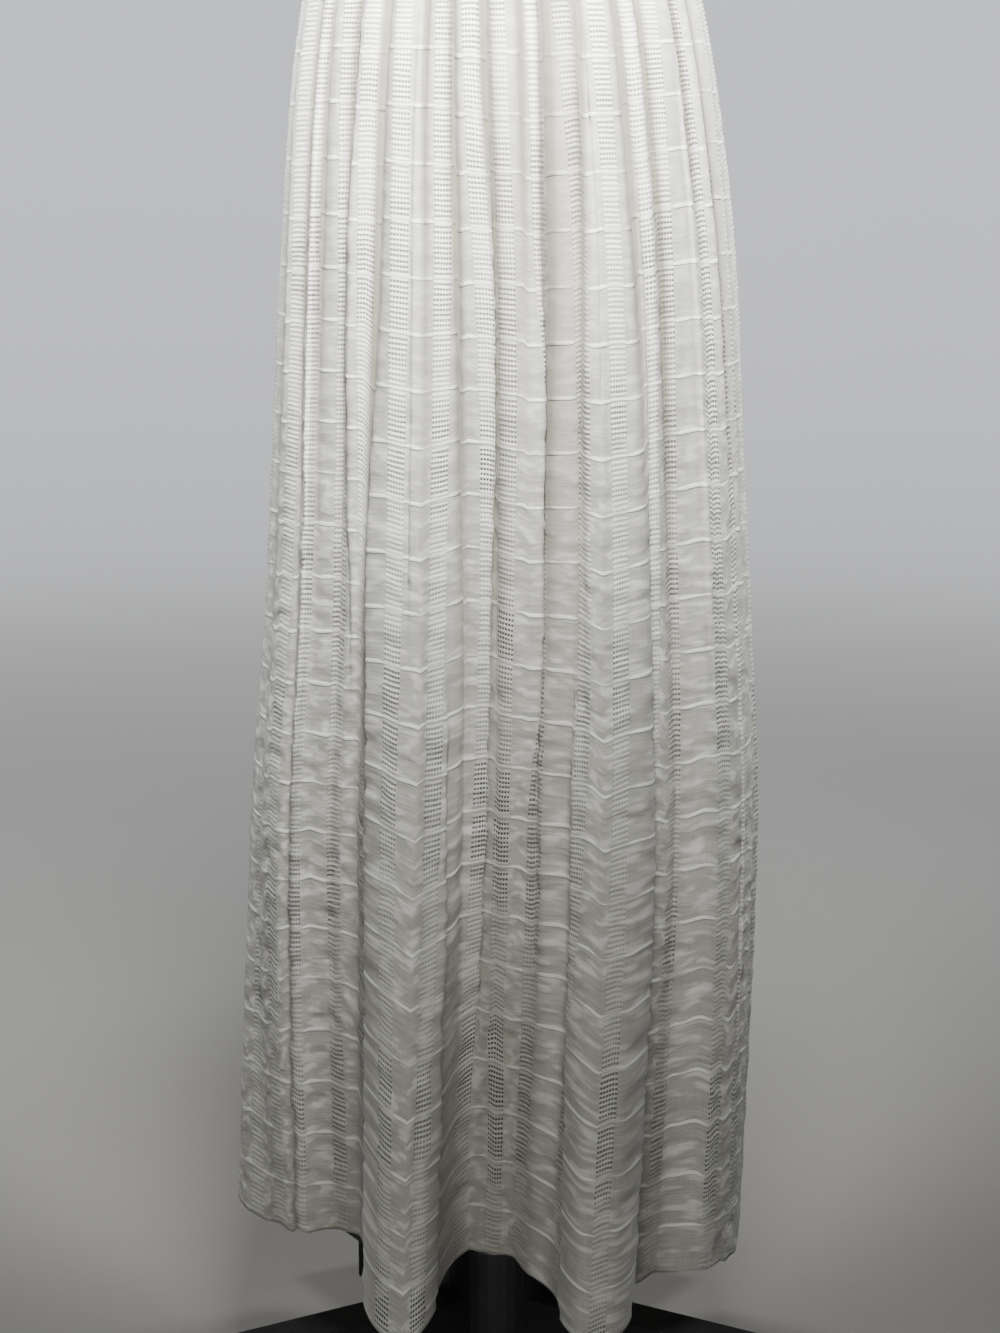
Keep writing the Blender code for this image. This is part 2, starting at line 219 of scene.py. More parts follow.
def use_group(tree, group, **inputs):
    """A group placed in a material, with its inputs set; underscores stand for spaces."""
    placed = node(tree, "ShaderNodeGroup", node_tree=group)
    feed(tree, placed.inputs, **inputs)
    return placed.outputs


def new_material(name, **sockets):
    """A Principled material with plain values on its own sockets."""
    made = bpy.data.materials.new(name)
    made.use_nodes = True
    shader = made.node_tree.nodes["Principled BSDF"]
    feed(made.node_tree, shader.inputs, **sockets)
    return made, made.node_tree, shader


# %% Mesh helpers
LATTICE = 128  # cells a side, before the relief repeats


def grid_faces(rows, columns, flip=False):
    """Four corners for each cell of a grid of points."""
    index = np.arange(rows * columns).reshape(rows, columns)
    corners = (index[:-1, :-1], index[1:, :-1], index[1:, 1:], index[:-1, 1:])
    faces = np.stack(corners, axis=-1).reshape(-1, 4)
    return faces[:, ::-1] if flip else faces


def surface(name, points, faces, cloth=None, depth=None):
    """A smooth mesh object; cloth is the flat place of each point, depth its fold depth."""
    mesh = bpy.data.meshes.new(name)
    mesh.from_pydata(points.reshape(-1, 3).tolist(), [], faces.tolist())
    if cloth is not None:
        corner = np.empty(len(mesh.loops), dtype=np.int32)
        mesh.loops.foreach_get("vertex_index", corner)
        layer = mesh.uv_layers.new(name="cloth")
        layer.data.foreach_set("uv", cloth.reshape(-1, 2)[corner].astype(np.float32).ravel())
    if depth is not None:
        attribute = mesh.attributes.new("fold", "FLOAT", "POINT")
        attribute.data.foreach_set("value", depth.astype(np.float32).ravel())
    mesh.shade_smooth()
    thing = bpy.data.objects.new(name, mesh)
    bpy.context.scene.collection.objects.link(thing)
    return thing


def normals_of(points):
    """Directions square to a grid of points, from its slopes along rows and columns."""
    normal = np.cross(np.gradient(points, axis=1), np.gradient(points, axis=0))
    return normal / np.maximum(np.linalg.norm(normal, axis=-1, keepdims=True), 1e-12)


def smooth(share):
    """An even step from 0 to 1 with flat ends: s squared times (3 - 2s)."""
    share = np.clip(share, 0.0, 1.0)
    return share * share * (3.0 - 2.0 * share)


def relief_noise(across, along, cell_across, cell_along, seed):
    """Smooth random relief from -1 to 1: values on a lattice of cells, joined by even steps."""
    values = np.random.default_rng(seed).uniform(-1.0, 1.0, (LATTICE, LATTICE))
    a, b = across / cell_across, along / cell_along
    i, j = np.floor(a).astype(int), np.floor(b).astype(int)
    fa, fb = smooth(a - i), smooth(b - j)
    i, j, right, up = i % LATTICE, j % LATTICE, (i + 1) % LATTICE, (j + 1) % LATTICE
    low = values[i, j] * (1 - fa) + values[right, j] * fa
    high = values[i, up] * (1 - fa) + values[right, up] * fa
    return low * (1 - fb) + high * fb


print("helpers ready")

# %% [markdown]
# ## The shape of the skirt
# The skirt is two straight widths of gauze, gathered at the waist and hanging free. Its form is
# the one that the solids have: an oval section at each height, pressed in by narrow gathers and
# pushed out by the large folds. The tables repeat the solids' own sizes, so that the fine cloth
# lies exactly on them. `through` draws a smooth curve through a column of such sizes.

# %% Sizes of the skirt
WAIST_Z = 1.200
HEM_Z = 0.092
SEAM_GAP = 0.0003

SKIRT_OVALS = (
    # height, half width, half depth, shift towards +X
    (0.090, 0.208, 0.136, -0.004),
    (0.230, 0.208, 0.137, 0.000),
    (0.450, 0.206, 0.139, 0.006),
    (0.690, 0.193, 0.139, 0.009),
    (0.900, 0.183, 0.138, 0.009),
    (1.060, 0.171, 0.134, 0.006),
    (1.140, 0.159, 0.125, 0.004),
    (1.185, 0.141, 0.111, 0.001),
    (1.201, 0.131, 0.101, 0.000),
)
GATHERS = (
    # angle at waist, angle at knee, half width in degrees, depth in mm at waist, hip, knee and hem,
    # and the side that lips over the valley
    (-80, -77, 3.4, 8, 5, 2, 0, 1), (-65, -60, 3.2, 9, 7, 6, 4, 1),
    (-54.5, -53, 2.8, 7, 5, 2, 0, -1), (-45, -46, 2.8, 9, 6, 3, 2, 1),
    (-31.5, -37, 3.2, 9, 8, 8, 0, -1), (-22.5, -20.5, 2.4, 8, 6, 4, 3, 1),
    (-15.5, -10.5, 2.8, 8, 7, 6, 0, 1), (-4, -1.5, 3, 9, 8, 9, 4, -1),
    (3.5, 4.5, 2.2, 7, 3, 0, 0, 1), (12.6, 8.5, 3, 10, 11, 9, 5, -1),
    (20, 15.5, 2.6, 8, 6, 5, 0, 1), (30.9, 34.5, 3, 9, 8, 9, 0, 1),
    (41.5, 45.5, 3, 9, 7, 5, 2, -1), (54.5, 57, 3.2, 9, 5, 3, 0, 1),
    (68, 69, 3.4, 8, 6, 3, 2, -1), (80, 81, 3.2, 8, 4, 2, 0, -1),
    (98, 99, 3.2, 8, 5, 3, 0, 1), (108.5, 110, 3.2, 9, 6, 4, 2, -1),
    (119, 121, 2.8, 8, 5, 2, 0, 1), (129, 133, 3.2, 9, 8, 7, 2, 1),
    (140.5, 143, 2.8, 8, 5, 3, 0, -1), (150, 153.5, 3, 9, 7, 6, 2, 1),
    (160, 164, 2.8, 8, 6, 4, 0, 1), (171, 173, 3, 9, 8, 8, 3, -1),
    (-178.5, -177, 2.6, 8, 5, 2, 0, 1), (-168.5, -168, 2.8, 9, 7, 5, 2, -1),
    (-158, -155, 3, 8, 7, 7, 0, -1), (-147.5, -146, 2.8, 9, 5, 3, 0, 1),
    (-137, -134, 3.2, 8, 7, 6, 3, -1), (-125.5, -124, 3, 9, 5, 3, 0, 1),
    (-113.5, -112, 3, 8, 6, 4, 2, -1), (-101, -100, 3.2, 8, 5, 2, 0, 1),
)
FOLDS = (
    # angle at hip, angle at hem, direction pushed, half width in degrees, push in mm at hip, knee, hem
    (-23, -22, 2, 9, 2, 16, 74), (26, 24.5, -3, 8.6, 4, 20, 72),
    (-4, -3, -3, 9.5, -3, -14, -44), (8, 8.5, 8, 7, -2, -8, -22),
    (-44, -42, -35, 11, -2, -8, -30), (-66, -64, -66, 13, 3, 4, -12),
    (42, 42, 38, 9, -2, -9, -20), (64, 64, 62, 14, 4, 8, 6),
    (-92, -93, -100, 13, 3, 6, 10), (94, 96, 92, 12, 3, 5, 2),
    (-116, -119, -112, 11, 2, 12, 34), (118, 117, 120, 11, -2, -6, -12),
    (139, 140, 140, 11, 4, 18, 46), (158, 159, 160, 9, -2, -9, -24),
    (177, 178, 176, 10, 3, 16, 42), (-162, -162, -162, 9, -2, -10, -26),
    (-142, -144, -142, 10, 4, 14, 40),
)
OVERLAPS = (
    # angle at top, angle at foot, share at top and foot, where the upper side points, half width,
    # height in mm
    (-58, -57, 0.05, 0.70, 1, 5, 2.6), (-43, -40, 0.10, 0.60, -1, 4.5, 3),
    (-33.5, -29.5, 0.30, 1.00, -1, 5, 4.8), (-25, -24, 0.00, 0.55, -1, 4.5, 2.8),
    (-15, -14, 0.50, 1.00, 1, 4.5, 4.6), (-4, -6, 0.10, 0.90, 1, 5, 5),
    (8.6, 7.1, 0.22, 0.66, 1, 3.5, 3.6), (15, 16.5, 0.50, 1.00, -1, 4, 5),
    (21, 22, 0.00, 0.40, 1, 3.5, 2.8), (35, 32.5, 0.10, 1.00, 1, 4.5, 5),
    (51, 54, 0.05, 0.60, -1, 5, 3), (68, 66, 0.35, 0.90, -1, 5.5, 2.2),
    (107, 109, 0.05, 0.75, 1, 5, 3), (126, 128, 0.30, 0.98, 1, 4.5, 3.6),
    (141, 146, 0.00, 0.60, -1, 4.5, 3), (161, 164, 0.35, 1.00, 1, 5, 3.8),
    (176, 172, 0.02, 0.55, 1, 4, 3), (191, 193, 0.30, 0.95, -1, 4.5, 3.8),
    (208, 205, 0.05, 0.65, -1, 5, 3), (226, 227, 0.40, 1.00, -1, 5, 3.6),
    (243, 245, 0.05, 0.70, 1, 5, 3),
)
GATHER_STATIONS = (0.0, 0.03, 0.26, 0.64, 1.0)
GATHER_AT_SEAM = 0.35
FOLD_STATIONS = (0.08, 0.28, 0.64, 1.0)
LIP_SHARE = 0.75
LIP_PLACE = 0.75
LIP_WIDTH = 0.85
OVERLAP_TAPER = 3.5
OVERLAP_STEEP = 2.2
OVERLAP_SLIDE = 1.1
OVERLAP_SINK = 0.7
SINK_NARROW = 2.0
SLIDE_NARROW = 1.6
OPEN_FOOT = 0.98
# the share of a large fold's inward push that counts as fold depth, and so as painted shade
HOLLOW_SHARE = 0.25
HEM_RISES = (
    # angle, rise above the lowest point of the hem
    (-119, 0.034), (-90, 0.056), (-72, 0.044), (-38, 0.048),
    (-21.5, 0.000), (-6, 0.040), (3, 0.030), (11, 0.024),
    (22.5, 0.000), (44, 0.014), (90, 0.024), (140, 0.006),
    (178, 0.008), (216, 0.010),
)
print("gathers:", len(GATHERS), "overlaps:", len(OVERLAPS), "large folds:", len(FOLDS))


# %% Formula of the skirt
def column(table, number):
    """One column of a table."""
    return [row[number] for row in table]


def through(stations, values, at):
    """A smooth curve through values: cubic pieces, with level slopes at highs and lows."""
    x = np.asarray(stations, float)
    y = np.asarray(values, float)
    at = np.clip(np.asarray(at, float), x[0], x[-1])
    step = np.diff(x)
    rate = np.diff(y) / step
    before, after = rate[:-1], rate[1:]
    turning = before * after <= 0
    mean = np.where(turning, 1.0, before + after)
    inner = np.where(turning, 0.0, 2.0 * before * after / np.where(mean == 0, 1.0, mean))
    slope = np.concatenate(([rate[0]], inner, [rate[-1]]))
    k = np.clip(np.searchsorted(x, at, side="right") - 1, 0, len(step) - 1)
    s = (at - x[k]) / step[k]
    start = y[k] * (1 + 2 * s) * (1 - s) ** 2 + slope[k] * step[k] * s * (1 - s) ** 2
    end = y[k + 1] * s * s * (3 - 2 * s) + slope[k + 1] * step[k] * s * s * (s - 1)
    return start + end


def turn_between(angle, centre):
    """The difference of two angles in degrees, from -180 to 180."""
    return (angle - centre + 180.0) % 360.0 - 180.0


def lengths_along(points):
    """The length along a line of points, from nought at its first."""
    return np.concatenate(([0.0], np.cumsum(np.linalg.norm(np.diff(points, axis=0), axis=1))))


def hem_height(angle):
    """Height of the hem's edge round the skirt."""
    return HEM_Z + np.interp(angle, column(HEM_RISES, 0), column(HEM_RISES, 1), period=360.0)


def sized(table, number, z):
    """A column of a table at any height; the table's first column is a height."""
    return through(column(table, 0), column(table, number), z)


def oval_at(angle, z):
    """Points of the plain oval, and its outward directions in the level plane."""
    half_width, half_depth, shift = (sized(SKIRT_OVALS, number, z) for number in (1, 2, 3))
    turn = np.radians(angle)
    points = np.stack((half_width * np.sin(turn) + shift, -half_depth * np.cos(turn), z), axis=-1)
    out = np.stack((np.sin(turn) / half_width, -np.cos(turn) / half_depth, np.zeros_like(z)), axis=-1)
    return points, out / np.linalg.norm(out, axis=-1, keepdims=True)


def skirt_points(angle, share):
    """Points of the cloth before its fine relief, and how deep each lies in a gather, in metres.

    The oval is pressed in along its own normal by each gather, exp(-q^2) across its width, and
    pushed along each large fold's own direction by exp(-q^4). One side of each gather lips over
    it: its points also slide sideways, along the oval, by a part of the gather's depth. Each
    overlap is a step: the upper side rises by exp(-q^2) and slides over the edge, the lower sinks.
    """
    points, out = oval_at(angle, WAIST_Z + (hem_height(angle) - WAIST_Z) * share)
    sideways = np.stack((-out[..., 1], out[..., 0], np.zeros_like(share)), axis=-1)
    pressed = np.zeros_like(share)
    slid = np.zeros_like(share)
    for at_waist, at_knee, width, waist, hip, knee, hem, lip in GATHERS:
        centre = at_waist + (at_knee - at_waist) * np.clip(share / GATHER_STATIONS[3], 0.0, 1.0)
        depth = through(GATHER_STATIONS, (waist * GATHER_AT_SEAM, waist, hip, knee, hem), share) * MM
        off = turn_between(angle, centre) / width
        pressed += depth * np.exp(-off**2)
        slid += LIP_SHARE * depth * lip * np.exp(-((off + LIP_PLACE * lip) / LIP_WIDTH) ** 2)
    for at_top, at_foot, top, foot, side, width, height in OVERLAPS:
        along = np.clip((share - top) / (foot - top), 0.0, 1.0)
        size = height * MM * smooth(np.minimum(along, 1.0 - along) * OVERLAP_TAPER)
        size = np.where(foot >= OPEN_FOOT, height * MM * smooth(along * OVERLAP_TAPER), size)
        off = turn_between(angle, at_top + (at_foot - at_top) * along) * -side / width
        over = smooth(off * OVERLAP_STEEP * width + 0.5)
        upper, lower = np.maximum(off, 0.0), np.minimum(off, 0.0)
        raised = over * np.exp(-upper**2)
        sunk = (1.0 - over) * np.exp(-((lower * SINK_NARROW) ** 2))
        pressed -= size * (raised - OVERLAP_SINK * sunk)
        slid += OVERLAP_SLIDE * side * size * over * np.exp(-((upper * SLIDE_NARROW) ** 2))
    points = points - pressed[..., None] * out + slid[..., None] * sideways

    hollow = np.zeros_like(share)
    for at_hip, at_hem, direction, width, hip, knee, hem in FOLDS:
        centre = at_hip + (at_hem - at_hip) * share
        push = through(FOLD_STATIONS, (0.0, hip, knee, hem), share) * MM
        swell = push * np.exp(-(turn_between(angle, centre) / width) ** 4)
        points[..., 0] += swell * math.sin(math.radians(direction))
        points[..., 1] -= swell * math.cos(math.radians(direction))
        hollow -= np.minimum(swell, 0.0)
    return points, np.maximum(pressed, 0.0) + HOLLOW_SHARE * hollow


print("front of the skirt at mid height:", skirt_points(np.array([0.0]), np.array([0.5]))[0].round(3))

# %% [markdown]
# ## Cords, and where they lie
# The gauze has a thick slubby weft cord about every 43 mm. On the body the cords are not level:
# gathers lift the cloth unevenly at the waist, so a cord steps up or down from fold to fold. The
# table gives how far the cloth has risen at three heights. The grid's rows then follow the cords
# and not the level, with closer rows beside each cord, so that a 2 mm cord is real geometry.

# %% Rows and columns of the cloth
CORD_PITCH = 0.0434
CORD_PHASE = 1.6
SKIRT_LENGTH = 1.10
SKIRT_COLUMNS = 312
CORD_ROWS = (0.0, 1.3, 4.6, 8.7, 12.8, 17.1, 21.7, 26.3, 30.6, 34.7, 38.8, 42.1)
LIFT_STATIONS = (0.0, 0.17, 0.5, 0.8)
# rises in mm, and the width of a step in degrees
STEP_RISE = 5.0
STEP_WIDTH = 1.6
WAVE_RISE = 3.0
LEVEL_SEED, WAVE_SEED = 91, 92
# a wave's size in degrees and in shares of the way down, and where steps and waves set in
WAVE_CELL = (3.2, 0.10)
STEPS_FULL = 0.08
WAVES_FROM, WAVES_OVER = 0.30, 0.5
SEAM_CALM = 12.0
MOST_CORDS = 40
DENSE_ROUND, DENSE_DOWN = 2001, 801
LIFTS = (
    # angle, rise of the cloth in mm at the hip, the thigh and below
    (-90, 10, 40, 60), (-50, 8, 34, 56), (-39, 6, 30, 50), (-35, 4, 6, 26),
    (-29, 2, 6, 14), (-22, 0, 2, -4), (-14, 0, 14, 14), (-12, 0, 20, 24),
    (-4, -8, 4, 12), (0, -10, -6, 4), (10, -10, -4, 6), (15.5, -4, 2, 12),
    (17, -2, 4, 10), (24, 0, -4, -6), (31, 2, 6, 8), (34, 2, 0, -6),
    (50, 12, 10, 8), (75, 22, 20, 20), (90, 24, 24, 22), (128, 12, 16, 14),
    (160, -2, -4, 0), (200, 2, 4, 6), (232, 10, 24, 30),
)


def eased(angle, table, number):
    """A column of a table of angles at any angle, with a level slope at each of its rows."""
    turns = np.array(column(table, 0) + [table[0][0] + 360.0])
    values = np.array(column(table, number) + [table[0][number]], float)
    at = (angle - turns[0]) % 360.0 + turns[0]
    k = np.clip(np.searchsorted(turns, at, side="right") - 1, 0, len(table) - 1)
    return values[k] + smooth((at - turns[k]) / (turns[k + 1] - turns[k])) * (values[k + 1] - values[k])


def panel_steps(angle, share):
    """A random level from -1 to 1 for each panel between two gathers, with quick smooth steps in
    the gathers' valleys, so that a cord is level across a panel and jumps between panels."""
    levels = np.random.default_rng(LEVEL_SEED).uniform(-1.0, 1.0, len(GATHERS))
    to_knee = np.clip(share / GATHER_STATIONS[3], 0.0, 1.0)
    total = np.zeros_like(share)
    for k, level in enumerate(levels):
        left, right = GATHERS[k], GATHERS[(k + 1) % len(GATHERS)]
        past_left = turn_between(angle, left[0] + (left[1] - left[0]) * to_knee)
        before_right = -turn_between(angle, right[0] + (right[1] - right[0]) * to_knee)
        total += level * smooth(past_left / STEP_WIDTH + 0.5) * smooth(before_right / STEP_WIDTH + 0.5)
    return total


def lift(angle, share):
    """How far the cloth has risen above its flat place, in metres: the table's rise, small
    steps from one panel to the next, and waves that grow towards the hem."""
    levels = [np.zeros_like(angle)]
    for number in (1, 2, 3):
        levels.append(eased(angle, LIFTS, number) * MM)
    rise = np.zeros_like(share)
    for k in range(3):
        step = smooth((share - LIFT_STATIONS[k]) / (LIFT_STATIONS[k + 1] - LIFT_STATIONS[k]))
        rise = rise + step * (levels[k + 1] - levels[k])
    off_seam = 1.0 - np.exp(-(turn_between(2.0 * angle, 180.0) / SEAM_CALM) ** 2)
    steps = STEP_RISE * panel_steps(angle, share) * smooth(share / STEPS_FULL)
    waves = WAVE_RISE * relief_noise(angle, share, *WAVE_CELL, WAVE_SEED)
    waves = waves * smooth((share - WAVES_FROM) / WAVES_OVER)
    return rise + off_seam * (steps + waves) * MM


def cloth_rows():
    """Distances down the flat cloth: from the waist to the hem, closest beside each cord."""
    first = -CORD_PHASE * CORD_PITCH
    starts = first + CORD_PITCH * np.arange(MOST_CORDS)
    rows = (starts[:, None] + np.asarray(CORD_ROWS) * MM).ravel()
    rows = rows[(rows > MM) & (rows < SKIRT_LENGTH - MM)]
    return np.concatenate(([0.0], rows, [SKIRT_LENGTH]))


def cloth_columns(first, last, count):
    """Angles of the grid's columns: halfway between even angles and even lengths along the hem."""
    dense = np.linspace(first, last, DENSE_ROUND)
    length = lengths_along(skirt_points(dense, np.ones_like(dense))[0])
    even = (dense - first) / (last - first)
    return np.interp(np.linspace(0.0, 1.0, count + 1), 0.5 * (even + length / length[-1]), dense)


def shares_of(angles, rows):
    """The share of the way to the hem at each row and column, so that a row follows one yarn."""
    dense = np.linspace(0.0, 1.0, DENSE_DOWN)
    turn, share = np.meshgrid(angles, dense)
    down = (WAIST_Z - hem_height(turn)) * share + lift(turn, share)
    down *= SKIRT_LENGTH / down[-1]
    down = np.maximum.accumulate(down, axis=0)
    return np.stack([np.interp(rows, down[:, k], dense) for k in range(len(angles))], axis=1)


rows_down = cloth_rows()
print("rows:", len(rows_down), "columns:", SKIRT_COLUMNS, "cords:", int(SKIRT_LENGTH / CORD_PITCH))

# %% [markdown]
# ## Openwork stripes
# Warp stripes of ladder-like openwork run from waist to hem, about 14 mm wide and 40 mm apart on
# the flat cloth. Gathering hides part of each plain band in the valleys, so on the body they
# stand at uneven angles, listed one by one. Beside each stripe the cloth coordinate follows real
# length, so a stripe keeps its width, and the plain band between takes up what is left.

# %% Stripes across the cloth
STRIPE_PITCH = 0.040
STRIPE_HALF = 0.007
STRIPE_SHARE_OF_GAP = 0.32
STRIPES_FRONT = (
    # angle at the waist, at the thigh and at the hem
    (-87, -86.5, -87), (-78, -76, -77), (-69.5, -66, -66),
    (-59, -57, -56), (-48.5, -46, -44), (-38, -37.5, -34),
    (-27, -27.5, -25.5), (-18, -17, -17.5), (-9, -6, -8.5),
    (-0.5, 1, 0), (8, 8.5, 6.5), (16, 18, 15),
    (25.5, 27, 24.5), (36, 37.5, 33), (46, 45, 43),
    (56, 57, 56), (66, 67, 68), (76, 77, 78),
    (86.5, 87, 87),
)
STRIPES_BACK = tuple(
    (91.5 + 9.85 * k + 1.2 * math.sin(2.1 * k), 91.5 + 9.85 * k + 1.6 * math.sin(1.7 * k + 1.0),
     91.5 + 9.85 * k + 1.2 * math.sin(1.3 * k + 2.0))
    for k in range(19)
)
STRIPE_STATIONS = (0.04, 0.40, 0.92)


def cloth_across(points, angles, share, stripes):
    """The flat place across the cloth of every point, stripe number k standing at k pitches.

    Lengths along each row are measured, the stripes' centres found on them, and the place runs
    evenly with length within half a stripe's width of a centre and evenly between stripes.
    """
    steps = np.linalg.norm(np.diff(points, axis=1), axis=-1)
    along = np.concatenate((np.zeros((len(points), 1)), np.cumsum(steps, axis=1)), axis=1)
    level = share.mean(axis=1)
    turns = np.stack([through(STRIPE_STATIONS, stripe, level) for stripe in stripes], axis=1)
    across = np.empty_like(along)
    number = np.arange(len(stripes)) * STRIPE_PITCH
    ends = np.array([-STRIPE_PITCH, len(stripes) * STRIPE_PITCH])
    for k in range(len(points)):
        centre = np.interp(turns[k], angles, along[k])
        gap = np.diff(centre)
        room = np.minimum(np.concatenate(([gap[0]], gap)), np.concatenate((gap, [gap[-1]])))
        half = np.minimum(STRIPE_HALF, STRIPE_SHARE_OF_GAP * room)
        place = np.stack((centre - half, centre + half), axis=1).ravel()
        value = np.stack((number - STRIPE_HALF, number + STRIPE_HALF), axis=1).ravel()
        place = np.concatenate(([centre[0] - gap[0]], place, [centre[-1] + gap[-1]]))
        across[k] = np.interp(along[k], place, np.concatenate((ends[:1], value, ends[1:])))
    return across


print("stripes in front:", len(STRIPES_FRONT), "behind:", len(STRIPES_BACK))

# %% [markdown]
# ## Creases and puckers
# Between the cords the thin cloth blisters: low puckers, wider than high, weak at the waist and
# strong towards the hem. Longer creases run down beside the gathers. They are listed one by one,
# with uneven lengths and depths, as soft ridges and troughs. All of it moves points along the
# cloth's own normal, after the large form is made.

# %% Relief of the cloth
# heights and the cord's half width in mm
CORD_HEIGHT = 0.6
CORD_HALF = 1.4
PUCKER_TOP = 0.8
PUCKER_LOW = 2.8
PILLOW = 0.5
PUCKER_FROM, PUCKER_OVER = 0.12, 0.7
# a slub's mean height, its change, and its length in metres
SLUB = (0.62, 0.38, 0.016)
# how far blisters are bent aside, and the size of a bend, in metres
BEND = (0.005, 0.045, 0.035)
# tilt, width and height of a blister, in metres
FALLING = (0.24, 0.024, 0.0092)
RISING = (-0.30, 0.022, 0.0086)
SMALL = (0.15, 0.012, 0.0060)
BLISTER_LEVEL = 0.35
SMALL_SHARE = 0.25
CREASES = (
    # angle at top, angle at foot, share at top, share at foot, half width in degrees, height in mm
    (-72, -69, 0.02, 0.42, 1.6, 2.2), (-57.5, -58, 0.10, 0.60, 1.5, -2.4),
    (-50, -49, 0.00, 0.30, 1.3, 2), (-41, -42, 0.05, 0.55, 1.2, 2.6),
    (-36, -33, 0.25, 0.80, 1.2, -2.6), (-27.5, -29.5, 0.02, 0.45, 1.3, 2.2),
    (-18, -15, 0.08, 0.50, 1, -2), (-12, -13.5, 0.35, 0.95, 1.3, 2),
    (-8.5, -6, 0.00, 0.38, 1.1, 2.4), (-5.5, -7.5, 0.45, 0.90, 1.1, -2.4),
    (0.5, 2.5, 0.10, 0.62, 1, 2.2), (5.8, 6, 0.02, 0.35, 0.9, -1.8),
    (8.5, 12.5, 0.40, 0.92, 1.2, 2.4), (16.5, 12.5, 0.00, 0.40, 1.1, 2.2),
    (18, 17, 0.30, 0.75, 1.1, -2.2), (23.5, 22, 0.05, 0.55, 1.2, 2.4),
    (27.5, 29.5, 0.20, 0.70, 1.2, -2), (37, 39, 0.00, 0.50, 1.3, 2.4),
    (48.5, 50, 0.12, 0.66, 1.4, -2.2), (60.5, 63, 0.02, 0.44, 1.5, 2.2),
    (73.5, 75.5, 0.08, 0.52, 1.6, -2), (85.5, 87, 0.30, 0.85, 1.4, 2),
    (93, 92, 0.02, 0.40, 1.4, 2), (104, 106, 0.10, 0.60, 1.4, -2.2),
    (114, 116, 0.00, 0.45, 1.4, 2.2), (125, 127, 0.25, 0.80, 1.3, 2.2),
    (135, 137, 0.05, 0.50, 1.2, -2.4), (145.5, 148, 0.00, 0.42, 1.3, 2.4),
    (155, 152, 0.30, 0.85, 1.3, -2), (165.5, 167.5, 0.02, 0.55, 1.2, 2.4),
    (177, 179.5, 0.10, 0.48, 1.2, -2.2), (186.5, 184.5, 0.28, 0.88, 1.2, 2.2),
    (196.5, 199, 0.00, 0.44, 1.3, 2.2), (207, 209, 0.15, 0.70, 1.3, -2.2),
    (217.5, 220, 0.02, 0.40, 1.3, 2.4), (229, 231, 0.20, 0.75, 1.4, 2),
    (240.5, 242.5, 0.00, 0.46, 1.4, -2.2), (252.5, 254, 0.12, 0.62, 1.5, 2.2),
    (264, 266, 0.05, 0.50, 1.5, -2),
)


def crease_relief(angle, share):
    """Ridges and troughs: exp(-q^2) across each, and a sine hump along it."""
    relief = np.zeros_like(share)
    for at_top, at_foot, top, foot, width, height in CREASES:
        along = np.clip((share - top) / (foot - top), 0.0, 1.0)
        centre = at_top + (at_foot - at_top) * along
        relief += height * np.sin(math.pi * along) * np.exp(-(turn_between(angle, centre) / width) ** 2)
    return relief * MM


def nearest_cord(down):
    """The number of the nearest cord, and the distance to it."""
    number = np.round(down / CORD_PITCH + CORD_PHASE)
    return number, down - (number - CORD_PHASE) * CORD_PITCH


def weave_relief(across, down, share, seed):
    """Cords and puckers: a rounded ridge of uneven height along each cord, and between cords
    blisters that grow towards the hem and fade out at the cords. The blisters are the higher of
    two fields of flat lenses, one tilted down to the right and one up, so they meet in creases."""
    number, off = nearest_cord(down)
    slub = SLUB[0] + SLUB[1] * relief_noise(across, number, SLUB[2], 1.0, seed)
    cords = CORD_HEIGHT * slub * np.exp(-(off / (CORD_HALF * MM)) ** 2)
    between = np.abs(np.sin(math.pi * (down / CORD_PITCH + CORD_PHASE)))
    strength = PUCKER_TOP + (PUCKER_LOW - PUCKER_TOP) * smooth((share - PUCKER_FROM) / PUCKER_OVER)
    bend = BEND[0] * relief_noise(across, down, *BEND[1:], seed + 3)
    falling = relief_noise(across + bend, down + bend + FALLING[0] * across, *FALLING[1:], seed + 1)
    rising = relief_noise(across - bend, down + bend + RISING[0] * across, *RISING[1:], seed + 2)
    small = relief_noise(across + 2.0 * bend, down + SMALL[0] * across, *SMALL[1:], seed + 4)
    blisters = np.maximum(falling, rising) - BLISTER_LEVEL + SMALL_SHARE * small
    return (cords + between * (PILLOW + strength * blisters)) * MM


print("creases:", len(CREASES))

# %% [markdown]
# ## The two widths of the skirt
# Each width is one grid from side seam to side seam. After its hem edge the grid turns in and
# runs up inside by 8 mm, which is the real turned hem. The cloth coordinates go into a UV map
# in metres, so the weave, stripes and cords in the material follow every fold.

# %% Skirt widths
# rows of the turned hem: how far inside the edge and how far up, in mm
HEM_TURN = ((0.35, 0.5), (0.9, 0.7), (1.3, 3.0), (1.3, 8.0))
HEM_WAVE = 2.6  # mm
SIDE_CALM = 0.45
SCALLOP_DEGREES = 4.4
FOLD_DEEPEST = 0.012
CALM_FROM, CALM_OVER = 8.0, 30.0
SEAM_FADE = 1.5
TOP_FADE = 0.012
SCALLOP_FADE = 0.05


